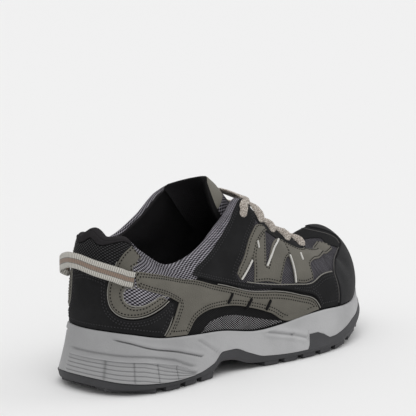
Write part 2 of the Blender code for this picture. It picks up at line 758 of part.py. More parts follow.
# Outlines of the pieces laid on the upper: ring place on the outer side and share up the wall.
# Those that cross the back or the toe list one half, and the other half is its mirror image.
SIDE_BAND = [
    (2.25, 0.50),
    (2.25, 0.67),
    (2.95, 0.74),
    (3.75, 0.83),
    (4.35, 0.76),
    (4.95, 0.55),
    (5.65, 0.37),
    (6.70, 0.23),
    (7.85, 0.16),
    (8.50, 0.10),
    (8.75, 0.012),
    (7.25, 0.012),
    (6.65, 0.10),
    (6.05, 0.18),
    (5.55, 0.24),
    (5.00, 0.28),
    (4.40, 0.28),
    (4.05, 0.20),
    (3.82, 0.012),
    (3.15, 0.012),
    (3.30, 0.14),
    (3.50, 0.32),
    (3.66, 0.45),
    (3.30, 0.50),
]
HEEL_RING = [
    (2.30, 0.970),
    (1.90, 0.85),
    (1.60, 0.74),
    (1.40, 0.62),
    (1.18, 0.50),
    (1.12, 0.40),
    (1.25, 0.28),
    (1.60, 0.205),
    (2.05, 0.19),
    (2.45, 0.23),
    (2.90, 0.33),
    (3.28, 0.45),
    (3.05, 0.47),
    (2.80, 0.41),
    (2.35, 0.31),
    (2.00, 0.29),
    (1.78, 0.34),
    (1.70, 0.42),
    (1.88, 0.49),
    (2.17, 0.50),
    (2.17, 0.70),
    (2.50, 0.78),
    (2.75, 0.90),
]
HEEL_COUNTER = [
    (0.00, 0.56),
    (1.12, 0.56),
    (1.05, 0.40),
    (1.18, 0.25),
    (1.56, 0.17),
    (2.08, 0.155),
    (2.53, 0.20),
    (2.98, 0.30),
    (3.34, 0.42),
    (3.44, 0.42),
    (3.40, 0.32),
    (3.20, 0.14),
    (3.05, 0.012),
    (1.50, 0.012),
    (0.00, 0.012),
]
EYESTAY = [
    (7.00, 0.97),
    (6.40, 0.94),
    (5.70, 0.93),
    (5.10, 0.92),
    (4.60, 0.86),
    (4.42, 0.80),
    (5.03, 0.575),
    (5.70, 0.385),
    (6.75, 0.25),
    (7.90, 0.19),
    (8.62, 0.13),
    (8.86, 0.012),
    (10.05, 0.012),
    (10.12, 0.14),
    (10.18, 0.28),
    (10.20, 0.37),
    (9.25, 0.33),
    (8.50, 0.245),
    (7.80, 0.24),
    (7.15, 0.24),
    (6.35, 0.315),
    (5.95, 0.385),
    (5.66, 0.44),
    (5.62, 0.49),
    (5.78, 0.55),
    (6.10, 0.60),
    (6.60, 0.67),
    (7.02, 0.76),
    (7.20, 0.88),
    (7.25, 0.97),
]
FINGER_REAR = [
    (7.20, 0.72),
    (6.75, 0.65),
    (6.15, 0.575),
    (5.88, 0.525),
    (5.80, 0.46),
    (5.98, 0.46),
    (6.30, 0.50),
    (6.65, 0.53),
    (6.90, 0.58),
    (7.15, 0.64),
]
FINGER_MIDDLE = [
    (7.32, 0.61),
    (6.90, 0.545),
    (6.50, 0.48),
    (6.32, 0.43),
    (6.28, 0.35),
    (7.20, 0.265),
    (7.35, 0.32),
    (7.68, 0.42),
    (8.00, 0.52),
    (8.50, 0.68),
    (8.70, 0.78),
    (8.40, 0.79),
    (7.95, 0.64),
    (7.40, 0.47),
    (6.90, 0.385),
    (6.80, 0.395),
    (6.95, 0.44),
    (7.20, 0.52),
]
FINGER_FRONT = [
    (8.05, 0.50),
    (7.95, 0.40),
    (7.82, 0.27),
    (8.30, 0.265),
    (8.75, 0.31),
    (8.90, 0.40),
    (9.20, 0.48),
    (10.50, 0.56),
    (12.10, 0.56),
    (12.60, 0.66),
    (12.20, 0.76),
    (10.80, 0.77),
    (9.40, 0.74),
    (8.95, 0.68),
    (8.55, 0.66),
    (8.30, 0.58),
]
TOE_BUMPER = [
    (15.00, 0.93),
    (14.00, 0.93),
    (13.85, 0.82),
    (13.90, 0.66),
    (13.95, 0.56),
    (13.60, 0.51),
    (12.70, 0.50),
    (11.60, 0.49),
    (10.90, 0.46),
    (10.40, 0.38),
    (10.27, 0.28),
    (10.22, 0.14),
    (10.15, 0.012),
    (12.00, 0.012),
    (15.00, 0.012),
]
ALONG = 18.0
UPWARD = 60.0


def flat(q, v):
    """Ring place and share up the wall, laid out flat in near millimetres."""
    return Vector((q * ALONG, v * UPWARD))


def facet_point(q, v, lift):
    """A point lifted off the upper's own facets, which lie inside its true face."""
    places = RING_PLACES + [RING]
    k = min(bisect.bisect_right(places, q % RING), len(places) - 1) - 1
    j = min(int(v * WALL_ROWS + 1e-7), WALL_ROWS - 1)
    f = (q % RING - places[k]) / (places[k + 1] - places[k])
    g = v * WALL_ROWS - j
    v0, v1 = HEIGHT_SHARES[j : j + 2]
    a, c = last_point(places[k], v0), last_point(places[k + 1], v1)
    if g <= f:
        b = last_point(places[k + 1], v0)
        spot = a + (b - a) * f + (c - b) * g
    else:
        d = last_point(places[k], v1)
        spot = a + (d - a) * g + (c - d) * f
    return spot + last_normal(q, v) * lift


def grid_lines(outline):
    """The edges of the upper's facets round an outline, laid out flat."""
    low, high = min(q for q, v in outline), max(q for q, v in outline)
    stations = sorted({q + turn for q in RING_PLACES for turn in (-RING, 0)})
    first = max(bisect.bisect_right(stations, low) - 1, 0)
    last = min(bisect.bisect_left(stations, high), len(stations) - 1)
    used = stations[first : last + 1]
    rows = WALL_ROWS + 1
    points = [flat(q, v) for q in used for v in HEIGHT_SHARES]
    lines = []
    for i in range(len(used)):
        for j in range(rows):
            here = i * rows + j
            up, ahead = j + 1 < rows, i + 1 < len(used)
            lines += [(here, here + 1)] if up else []
            lines += [(here, here + rows)] if ahead else []
            lines += [(here, here + rows + 1)] if up and ahead else []
    return points, lines


def anticlockwise(outline):
    area = sum(a[0] * b[1] - b[0] * a[1] for a, b in zip(outline, outline[1:] + outline[:1]))
    return outline if area > 0 else outline[::-1]


def overlay(name, outline, thickness, made_of):
    """A thin shell on the upper's face, which follows its facets within the outline."""
    outline = anticlockwise(outline)
    count = len(outline)
    points, lines = grid_lines(outline)
    spots = [flat(q, v) for q, v in outline] + points
    edges = [(a + count, b + count) for a, b in lines]
    result = delaunay_2d_cdt(spots, edges, [list(range(count))], 1, 1e-4)
    triangles = [tuple(t) for t, source in zip(result[2], result[5]) if 0 in source]
    used = sorted({i for t in triangles for i in t})
    number = {old: new for new, old in enumerate(used)}
    triangles = [tuple(number[i] for i in t) for t in triangles]
    places = [(result[0][i].x / ALONG, result[0][i].y / UPWARD) for i in used]
    n = len(places)
    points = [facet_point(q, v, GAP + thickness) for q, v in places]
    points += [facet_point(q, v, GAP) for q, v in places]
    sides = {(t[i], t[(i + 1) % 3]) for t in triangles for i in range(3)}
    faces = triangles + [tuple(n + i for i in reversed(t)) for t in triangles]
    faces += [(b, a, n + a, n + b) for a, b in sides if (b, a) not in sides]
    return add_object(name, points, faces, made_of)


def mirrored(outline, middle):
    """A half outline closed by its mirror image about a ring place."""
    other = [(2 * middle - q, v) for q, v in outline[::-1] if abs(q - middle) > 1e-6]
    return outline + other


def both(name, outline, thickness, made_of):
    overlay("outer_" + name, outline, thickness, made_of)
    overlay("inner_" + name, [(RING - q, v) for q, v in outline], thickness, made_of)


def build_overlays(taupe, nubuck, rubber):
    both("side_band", SIDE_BAND, OVERLAY, taupe)
    both("heel_ring", HEEL_RING, OVERLAY, taupe)
    both("eyestay", EYESTAY, OVERLAY, nubuck)
    both("finger_rear", FINGER_REAR, OVERLAY, taupe)
    both("finger_middle", FINGER_MIDDLE, OVERLAY, taupe)
    both("finger_front", FINGER_FRONT, OVERLAY, taupe)
    overlay("heel_counter", mirrored(HEEL_COUNTER, 0.0), OVERLAY, nubuck)
    overlay("toe_bumper", mirrored(TOE_BUMPER, TOE_TIP), RUBBER_CAP, rubber)


def clear_scene():
    for obj in list(bpy.data.objects):
        bpy.data.objects.remove(obj)


clear_scene()
build_upper(material("upper mesh", (0.12, 0.12, 0.14), 0.85))
build_overlays(
    material("taupe leather", (0.14, 0.135, 0.115), 0.60),
    material("black nubuck", (0.02, 0.02, 0.02), 0.80),
    material("toe rubber", (0.04, 0.04, 0.045), 0.55),
)
build_midsole(material("sole foam", (0.38, 0.38, 0.39), 0.60))
build_outsole(material("sole rubber", (0.04, 0.04, 0.045), 0.75))
build_insole(material("insole cloth", (0.03, 0.03, 0.03), 0.90))
build_tongue(material("tongue cloth", (0.14, 0.14, 0.15), 0.85))
build_pull_loop(material("webbing", (0.55, 0.52, 0.46), 0.85))
build_lace(material("lace cord", (0.50, 0.46, 0.38), 0.85))
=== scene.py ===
"""Low safety sneaker, right foot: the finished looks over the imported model."""
import math

import bmesh
import bpy
import numpy as np
from mathutils import Matrix, Vector
from mathutils.geometry import delaunay_2d_cdt


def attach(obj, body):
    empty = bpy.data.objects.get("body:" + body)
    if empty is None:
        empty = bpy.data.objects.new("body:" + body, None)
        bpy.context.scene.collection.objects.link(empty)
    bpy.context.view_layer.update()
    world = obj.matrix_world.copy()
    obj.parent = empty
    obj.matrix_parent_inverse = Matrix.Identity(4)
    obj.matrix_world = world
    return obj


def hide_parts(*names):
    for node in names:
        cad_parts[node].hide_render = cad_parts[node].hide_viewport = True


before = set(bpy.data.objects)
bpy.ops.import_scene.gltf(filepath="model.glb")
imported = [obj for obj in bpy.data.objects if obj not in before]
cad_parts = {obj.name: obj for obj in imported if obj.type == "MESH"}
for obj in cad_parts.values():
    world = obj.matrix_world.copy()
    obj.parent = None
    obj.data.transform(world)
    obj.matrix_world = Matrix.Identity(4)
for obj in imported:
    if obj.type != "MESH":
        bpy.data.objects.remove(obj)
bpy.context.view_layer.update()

# Last and shell of the upper.
# The real shell is a stitched lining and foam-backed mesh, drawn over a last and turned over a
# rolled edge at the collar. Its form comes from sections round the shoe, in millimetres.
MM = 0.001
LENGTH = 300.0
BALL_WIDTH = 96.0
HEEL_WIDTH = 75.0
HEEL_HEIGHT = 113.0
INSTEP_HEIGHT = 121.0
TOE_HEIGHT = 80.0
SIDEWALL_HEIGHT = 43.0
HEEL_SEAT = 0.23
WALL = 2.4
COLLAR_PAD = 6.5
GAP = 0.35
ROW = "zone xf yf zf xt yt zt low_out low_up top_out top_down".split()
OUTER_ROWS = [
    ("heel", 0.040, 0.000, 1.00, 0.057, 0.000, 0.978, 3.0, 0.30, 0.50, 0.25),
    ("heel", 0.048, -0.220, 1.00, 0.056, -0.170, 0.935, 3.0, 0.30, 0.50, 0.25),
    ("heel", 0.080, -0.405, 0.96, 0.083, -0.345, 0.938, 2.5, 0.32, 0.60, 0.25),
    ("heel", 0.150, -0.513, 0.85, 0.120, -0.407, 0.854, 4.0, 0.35, 0.60, 0.30),
    ("heel", 0.250, -0.527, 0.78, 0.200, -0.447, 0.739, 4.0, 0.35, 0.60, 0.30),
    ("heel", 0.350, -0.533, 0.73, 0.307, -0.420, 0.792, 3.0, 0.35, 0.50, 0.25),
    ("instep", 0.450, -0.453, 0.62, 0.400, -0.281, 0.888, 2.0, 0.35, 0.45, 0.15),
    ("instep", 0.527, -0.495, 0.65, 0.470, -0.229, 1.000, 1.5, 0.40, 0.40, 0.10),
    ("instep", 0.610, -0.521, 0.72, 0.550, -0.214, 0.831, 1.5, 0.45, 0.45, 0.08),
    ("instep", 0.683, -0.521, 0.74, 0.633, -0.203, 0.719, 2.0, 0.50, 0.50, 0.06),
    ("toe", 0.747, -0.495, 0.71, 0.697, -0.188, 0.981, 2.0, 0.55, 0.50, 0.04),
    ("toe", 0.800, -0.448, 0.69, 0.733, -0.115, 0.931, 3.0, 0.58, 0.52, 0.02),
    ("toe", 0.850, -0.375, 0.70, 0.747, 0.010, 0.919, 3.5, 0.60, 0.55, 0.00),
    ("toe", 0.910, -0.240, 0.78, 0.793, 0.052, 0.969, 4.0, 0.62, 0.58, 0.00),
    ("toe", 0.957, -0.073, 0.84, 0.833, 0.073, 1.000, 4.5, 0.64, 0.60, 0.00),
    ("toe", 0.980, 0.115, 0.86, 0.863, 0.083, 1.000, 4.5, 0.64, 0.60, 0.00),
]
INNER_ROWS = [
    ("heel", 0.048, 0.213, 1.00, 0.058, 0.165, 0.925, 2.5, 0.30, 0.50, 0.25),
    ("heel", 0.078, 0.375, 0.98, 0.092, 0.322, 0.918, 2.0, 0.32, 0.60, 0.25),
    ("heel", 0.150, 0.467, 0.91, 0.140, 0.387, 0.885, 4.0, 0.35, 0.60, 0.30),
    ("heel", 0.250, 0.473, 0.86, 0.207, 0.413, 0.841, 4.0, 0.35, 0.60, 0.30),
    ("heel", 0.350, 0.447, 0.85, 0.287, 0.393, 0.947, 3.0, 0.35, 0.50, 0.25),
    ("instep", 0.450, 0.370, 0.81, 0.353, 0.271, 1.025, 2.0, 0.35, 0.45, 0.15),
    ("instep", 0.527, 0.422, 0.78, 0.420, 0.219, 1.062, 1.5, 0.40, 0.40, 0.10),
    ("instep", 0.610, 0.469, 0.74, 0.527, 0.214, 0.884, 1.5, 0.45, 0.45, 0.08),
    ("instep", 0.683, 0.490, 0.72, 0.623, 0.208, 0.748, 2.0, 0.50, 0.50, 0.06),
    ("toe", 0.747, 0.490, 0.70, 0.693, 0.198, 0.994, 2.0, 0.55, 0.50, 0.04),
    ("toe", 0.800, 0.478, 0.69, 0.732, 0.130, 0.938, 3.0, 0.58, 0.52, 0.02),
    ("toe", 0.850, 0.450, 0.70, 0.747, 0.010, 0.919, 3.5, 0.60, 0.55, 0.00),
    ("toe", 0.913, 0.388, 0.77, 0.793, 0.052, 0.969, 4.0, 0.62, 0.58, 0.00),
    ("toe", 0.962, 0.270, 0.84, 0.833, 0.073, 1.000, 4.5, 0.64, 0.60, 0.00),
]
THROAT_END = 12
RING = 30
WIDTHS = {"heel": HEEL_WIDTH, "instep": BALL_WIDTH, "toe": BALL_WIDTH}
HEIGHTS = {"heel": HEEL_HEIGHT, "instep": INSTEP_HEIGHT, "toe": TOE_HEIGHT}


def row_in_mm(row):
    r = dict(zip(ROW, row))
    width, height = WIDTHS[r["zone"]], HEIGHTS[r["zone"]]
    foot = [r["xf"] * LENGTH, r["yf"] * width, r["zf"] * SIDEWALL_HEIGHT]
    top = [r["xt"] * LENGTH, r["yt"] * width, r["zt"] * height]
    return foot + top + [r["low_out"], r["low_up"], r["top_out"], r["top_down"]]


SECTIONS = np.array([row_in_mm(r) for r in OUTER_ROWS + INNER_ROWS[::-1]])


def bend(a, b, c, d, t):
    """A smooth curve from b to c, t of the way, that leans at each end as its neighbours lie."""
    curve = (3 * b - a - 3 * c + d) * t**3 + (2 * a - 5 * b + 4 * c - d) * t**2
    return 0.5 * (2 * b + (c - a) * t + curve)


def sections_at(q):
    q = np.mod(np.asarray(q, float), RING)
    i = np.floor(q).astype(int)
    knots = [SECTIONS[(i + k) % RING] for k in (-1, 0, 1, 2)]
    return bend(*knots, (q - i)[:, None])


def wall_face(q, v):
    """Points of the outer face: q runs round the shoe from the heel, v from the sole to the edge."""
    q, v = np.broadcast_arrays(np.mod(np.asarray(q, float), RING), np.asarray(v, float))
    s = sections_at(q)
    ridge = (q >= THROAT_END) & (q <= RING - THROAT_END)
    s[ridge, 3:6] = 0.5 * (s[ridge, 3:6] + sections_at(RING - q[ridge])[:, 3:6])
    foot, top = s[:, 0:3], s[:, 3:6]
    out = (foot - top) * np.array([1.0, 1.0, 0.0])
    reach = np.linalg.norm(out, axis=1, keepdims=True)
    out /= reach
    rise = (top - foot) * np.array([0.0, 0.0, 1.0])
    low = foot + out * s[:, 6:7] + rise * s[:, 7:8]
    high = top + out * reach * s[:, 8:9] - rise * s[:, 9:10]
    v = v[:, None]
    u = 1.0 - v
    return u**3 * foot + 3 * u * u * v * low + 3 * u * v * v * high + v**3 * top


def wall_outward(q, v):
    step = 0.02
    q, v = np.broadcast_arrays(np.asarray(q, float), np.asarray(v, float))
    under_ridge = np.minimum(v, 1.0 - step)
    along = wall_face(q + step, under_ridge) - wall_face(q - step, under_ridge)
    up = wall_face(q, np.minimum(1.0, v + step)) - wall_face(q, np.maximum(0.0, v - step))
    n = np.cross(along, up)
    return n / np.linalg.norm(n, axis=1, keepdims=True)


CHART_Q = np.linspace(-RING / 2, 1.5 * RING, 3001)
CHART_LINE = wall_face(CHART_Q, 0.5)
CHART_RUN = np.concatenate([[0.0], np.cumsum(np.linalg.norm(np.diff(CHART_LINE, axis=0), axis=1))])
CHART_LAYERS = np.array([wall_face(CHART_Q, v) for v in np.linspace(0, 1, 17)])
CHART_TALL = np.linalg.norm(np.diff(CHART_LAYERS, axis=0), axis=2).sum(axis=0)


def chart(spots):
    """Ring place and share up the wall, laid flat in millimetres."""
    q, v = np.asarray(spots, float).T
    return np.stack([np.interp(q, CHART_Q, CHART_RUN), v * np.interp(q, CHART_Q, CHART_TALL)], 1)


def unchart(flat):
    q = np.interp(flat[:, 0], CHART_RUN, CHART_Q)
    return q, flat[:, 1] / np.interp(q, CHART_Q, CHART_TALL)


# Each soft fold: from one place to another, its half width and its depth, in millimetres
FOLD = "q0 v0 q1 v1 half depth".split()
FOLDS = [
    (3.10, 0.92, 4.30, 0.70, 5.0, -0.7),
    (4.60, 0.92, 5.20, 0.66, 5.0, -0.5),
    (7.30, 0.86, 8.90, 0.40, 5.0, -0.5),
    (9.30, 0.80, 10.60, 0.30, 6.0, -0.7),
    (10.20, 0.88, 11.40, 0.50, 6.0, 0.5),
    (11.20, 0.90, 12.20, 0.40, 5.0, -0.6),
    (0.60, 0.84, 1.60, 0.66, 5.0, 0.5),
    (26.90, 0.92, 25.70, 0.70, 5.0, -0.7),
    (25.40, 0.92, 24.80, 0.66, 5.0, -0.5),
    (22.70, 0.86, 21.10, 0.40, 5.0, -0.5),
    (20.70, 0.80, 19.40, 0.30, 6.0, -0.7),
    (18.80, 0.90, 17.80, 0.40, 5.0, -0.6),
]


def folds(flat):
    depth = np.zeros(len(flat))
    for fold in FOLDS:
        f = dict(zip(FOLD, fold))
        a, b = chart([(f["q0"], f["v0"]), (f["q1"], f["v1"])])
        t = np.clip((flat - a) @ (b - a) / ((b - a) @ (b - a)), 0.0, 1.0)
        far = np.linalg.norm(flat - a - t[:, None] * (b - a), axis=1)
        depth += f["depth"] * np.exp(-((far / f["half"]) ** 2))
    return depth


def skin(flat, lift):
    """Points lifted off the outer face, from places laid flat; past the ridge is the other side."""
    q, v = unchart(flat)
    over = v > 1.0 + 1e-6
    q = np.where(over, RING - q, q)
    v = np.clip(np.where(over, 2.0 - v, v), 0.0, 1.0)
    home = chart(np.stack([q, v], 1))
    lift = (np.zeros(len(q)) + lift + folds(home))[:, None]
    return wall_face(q, v) + wall_outward(q, v) * lift


def to_world(points):
    p = np.array(points, float)
    p[..., 0] -= HEEL_SEAT * LENGTH
    return p * MM


def finish_piece(name, points, faces, looks, nodes=(), uv=None, kinds=None, sharp=50, edge=None):
    """A mesh object from millimetre points, riding on the shoe's one body."""
    mesh = bpy.data.meshes.new(name)
    mesh.from_pydata(to_world(points).tolist(), [], [list(map(int, f)) for f in faces])
    if uv is not None:
        layer = mesh.uv_layers.new(name="UVMap")
        corner = np.empty(len(mesh.loops), int)
        mesh.loops.foreach_get("vertex_index", corner)
        layer.uv.foreach_set("vector", np.asarray(uv, float)[corner].ravel())
    if edge is not None:
        mesh.attributes.new("edge", "FLOAT", "POINT").data.foreach_set("value", np.asarray(edge, float))
    for look in looks:
        mesh.materials.append(look)
    if kinds is not None:
        mesh.polygons.foreach_set("material_index", np.asarray(kinds, int))
    mesh.shade_smooth()
    mesh.set_sharp_from_angle(angle=math.radians(sharp))
    mesh.update()
    piece = bpy.data.objects.new(name, mesh)
    bpy.context.scene.collection.objects.link(piece)
    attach(piece, "root")
    if nodes:
        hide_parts(*nodes)
    return piece


def tone(red, green, blue):
    """A photographed tone, 0 to 255, as linear colour."""
    c = np.array([red, green, blue]) / 255.0
    linear = np.where(c <= 0.04045, c / 12.92, ((c + 0.055) / 1.055) ** 2.4)
    return (*[float(x) for x in linear], 1.0)


def shaded(colour, share, lift=0.0):
    """The same colour, made darker or lighter."""
    return tuple(min(1.0, share * c + lift) for c in colour[:3]) + (1.0,)


class Look:
    """A material built node by node on its Principled shader."""

    def __init__(self, name, roughness, **sockets):
        self.made = bpy.data.materials.new(name)
        self.made.use_nodes = True
        self.tree = self.made.node_tree
        self.shader = self.tree.nodes["Principled BSDF"]
        self.shader.inputs["Roughness"].default_value = roughness
        for socket, value in sockets.items():
            self.shader.inputs[socket.replace("_", " ")].default_value = value

    def link(self, value, socket):
        if isinstance(value, bpy.types.NodeSocket):
            self.tree.links.new(value, socket)
        else:
            socket.default_value = value

    def add(self, kind, *values, out=0, **settings):
        node = self.tree.nodes.new(kind)
        for key, value in settings.items():
            setattr(node, key, value)
        for socket, value in zip(node.inputs, values):
            if value is not None:
                self.link(value, socket)
        return node.outputs[out]

    def math(self, what, a, b=0.0):
        return self.add("ShaderNodeMath", a, b, operation=what)

    def place(self):
        return self.add("ShaderNodeTexCoord", out=3)

    def flat(self):
        return self.add("ShaderNodeUVMap", uv_map="UVMap")

    def split(self, where):
        node = self.tree.nodes.new("ShaderNodeSeparateXYZ")
        self.tree.links.new(where, node.inputs[0])
        return node.outputs[0], node.outputs[1]

    def noise(self, where, scale, detail=3.0, rough=0.55):
        node = self.tree.nodes.new("ShaderNodeTexNoise")
        self.tree.links.new(where, node.inputs["Vector"])
        node.inputs["Scale"].default_value = scale
        node.inputs["Detail"].default_value = detail
        node.inputs["Roughness"].default_value = rough
        return node.outputs[0]

    def cells(self, where, scale, feature="F1"):
        node = self.tree.nodes.new("ShaderNodeTexVoronoi")
        node.feature = feature
        self.tree.links.new(where, node.inputs["Vector"])
        node.inputs["Scale"].default_value = scale
        return node.outputs["Distance"]

    def ramp(self, value, low, high, out_low=0.0, out_high=1.0):
        node = self.tree.nodes.new("ShaderNodeMapRange")
        node.interpolation_type = "SMOOTHSTEP"
        for socket, given in zip(node.inputs, (value, low, high, out_low, out_high)):
            self.link(given, socket)
        return node.outputs[0]

    def mix(self, share, a, b):
        node = self.tree.nodes.new("ShaderNodeMix")
        node.data_type = "RGBA"
        for key, value in (("Factor_Float", share), ("A_Color", a), ("B_Color", b)):
            self.link(value, next(s for s in node.inputs if s.identifier == key))
        return next(s for s in node.outputs if s.identifier == "Result_Color")

    def bump(self, height, depth, after=None):
        node = self.tree.nodes.new("ShaderNodeBump")
        node.inputs["Distance"].default_value = depth
        self.tree.links.new(height, node.inputs["Height"])
        if after is not None:
            self.tree.links.new(after, node.inputs["Normal"])
        return node.outputs[0]

    def wear(self, **links):
        for socket, value in links.items():
            self.link(value, self.shader.inputs[socket.replace("_", " ")])
        return self.made

    def holes(self, across, along, radius, soft):
        """0 in the holes of a net and 1 on its threads; rows of holes sit between one another."""
        where = self.flat()
        nearest = None
        for shift in (0.0, 0.5):
            turned = self.tree.nodes.new("ShaderNodeMapping")
            turned.inputs["Location"].default_value = (shift, shift, 0.0)
            turned.inputs["Scale"].default_value = (1.0 / across, 1.0 / along, 0.0)
            self.tree.links.new(where, turned.inputs["Vector"])
            part = self.add("ShaderNodeVectorMath", turned.outputs[0], operation="FRACTION")
            part = self.add("ShaderNodeVectorMath", part, (0.5, 0.5, 0.0), operation="SUBTRACT")
            part = self.add(
                "ShaderNodeVectorMath", part, (0.6 * across, along, 0.0), operation="MULTIPLY"
            )
            far = self.add("ShaderNodeVectorMath", part, operation="LENGTH", out=1)
            nearest = far if nearest is None else self.math("MINIMUM", nearest, far)
        return self.ramp(nearest, radius - soft, radius + soft)


def net_look(name, thread, hole, across, along, radius, soft, depth):
    """Threads over dark holes: the pitch across and along, a hole's radius and its soft edge, in mm."""
    look = Look(name, 0.85, Specular_IOR_Level=0.22)
    solid = look.holes(across, along, radius, soft)
    fibre = look.noise(look.place(), 2600.0, 2.0)
    patch = look.noise(look.place(), 70.0, 2.0)
    shade = look.ramp(patch, 0.3, 0.7, 0.82, 1.1)
    lit = look.mix(fibre, shaded(thread, 0.72), thread)
    colour = look.mix(solid, hole, lit)
    toned = look.mix(look.math("SUBTRACT", 1.1, shade), colour, (0.0, 0.0, 0.0, 1.0))
    first = look.bump(solid, depth)
    return look.wear(Base_Color=toned, Normal=look.bump(fibre, 0.00012, first))


def lining_look(name, colour, depth=0.00025):
    look = Look(name, 0.95, Specular_IOR_Level=0.08)
    knit = look.holes(1.7, 1.0, 0.32, 0.2)
    fuzz = look.noise(look.place(), 1800.0, 3.0)
    dark = shaded(colour, 0.45)
    worn = look.mix(fuzz, dark, colour)
    tint = look.mix(look.ramp(knit, 0.0, 1.0, 0.5, 0.0), worn, dark)
    return look.wear(Base_Color=tint, Normal=look.bump(knit, depth))


LINING = lining_look("black lining", tone(48, 47, 49), 0.0004)
EDGE_ROLL = lining_look("dark collar roll", tone(58, 56, 58), 0.00018)
VAMP_MESH = net_look("vamp mesh", tone(132, 129, 137), tone(22, 21, 24), 2.1, 1.4, 0.42, 0.16, 0.0005)
BACKING = net_look("black backing", tone(30, 30, 32), tone(8, 8, 9), 2.2, 1.4, 0.45, 0.2, 0.0003)
PALE_MESH = net_look("pale mesh", tone(206, 202, 212), tone(26, 24, 30), 3.4, 2.2, 0.64, 0.22, 0.0008)


def ease(t):
    t = np.clip(t, 0.0, 1.0)
    return t * t * (3 - 2 * t)


# The collar's padding: how far forward it goes and fades, and how far up the wall it starts
PADDED_TO, PADDED_FADE = 6.9, 1.5
PADDED_FROM, PADDED_RISE = 0.45, 0.4


def wall_thickness(q, v):
    place = np.minimum(np.mod(q, RING), RING - np.mod(q, RING))
    padded = ease((PADDED_TO - place) / PADDED_FADE) * ease((v - PADDED_FROM) / PADDED_RISE)
    return WALL + (COLLAR_PAD - WALL) * padded


FOOT_BED = [(0.00, 0.76), (0.12, 0.74), (0.30, 0.62), (0.45, 0.47), (0.62, 0.43), (0.80, 0.50)]
FOOT_BED += [(0.90, 0.60), (1.00, 0.72)]


def lean_curve(t, a, lean_a, b, lean_b):
    """A curve from a to b, t of the way, with a given slope at each end."""
    start = (2 * t**3 - 3 * t**2 + 1) * a + (t**3 - 2 * t**2 + t) * lean_a
    return start + (3 * t**2 - 2 * t**3) * b + (t**3 - t**2) * lean_b


def smooth_value(table, x):
    """A monotone cubic through (place, value) rows, for many places at once."""
    xs, ys = (np.array(c, float) for c in zip(*table))
    slopes = np.diff(ys) / np.diff(xs)
    product, total = slopes[:-1] * slopes[1:], slopes[:-1] + slopes[1:]
    inner = np.where(product > 0, 2 * product / np.where(total == 0, 1, total), 0.0)
    tangents = np.concatenate([slopes[:1], inner, slopes[-1:]])
    x = np.clip(np.asarray(x, float), xs[0], xs[-1])
    i = np.clip(np.searchsorted(xs, x, side="right") - 1, 0, len(xs) - 2)
    h = xs[i + 1] - xs[i]
    return lean_curve((x - xs[i]) / h, ys[i], h * tangents[i], ys[i + 1], h * tangents[i + 1])


def foot_bed(x):
    return SIDEWALL_HEIGHT * smooth_value(FOOT_BED, np.asarray(x) / LENGTH)


def foot_outward(q):
    step = 0.02
    run = sections_at(q + step)[:, :2] - sections_at(q - step)[:, :2]
    n = np.stack([run[:, 1], -run[:, 0], np.zeros(len(run))], 1)
    return n / np.linalg.norm(n, axis=1, keepdims=True)


def even_ring(pitch):
    """Places right round the shoe, about a pitch apart at mid height."""
    start, toe, end = np.interp([0, RING / 2, RING], CHART_Q, CHART_RUN)
    count = int(round((end - start) / pitch / 2)) * 2
    outer = np.interp(start + np.linspace(0, toe - start, count // 2 + 1), CHART_RUN, CHART_Q)
    return np.concatenate([outer, RING - outer[-2:0:-1]])


SHELL_PITCH = 2.4
SHELL_ROWS = 46
RIM_ROWS = 8
RIM_SWELL = 0.8
# Where the pale mesh shows: rows up the wall and over the rim, and from where to where round it
RIM_BAND = 44
RIM_OVER = {"outer": 3, "inner": 5}
MESH_BACK, RIM_FRONT, BAND_FRONT = 2.35, 6.9, 6.95
# Where the vamp's mesh shows: ahead of one place and above one row
MESH_FROM = 5.6
LOW_ROWS = 11


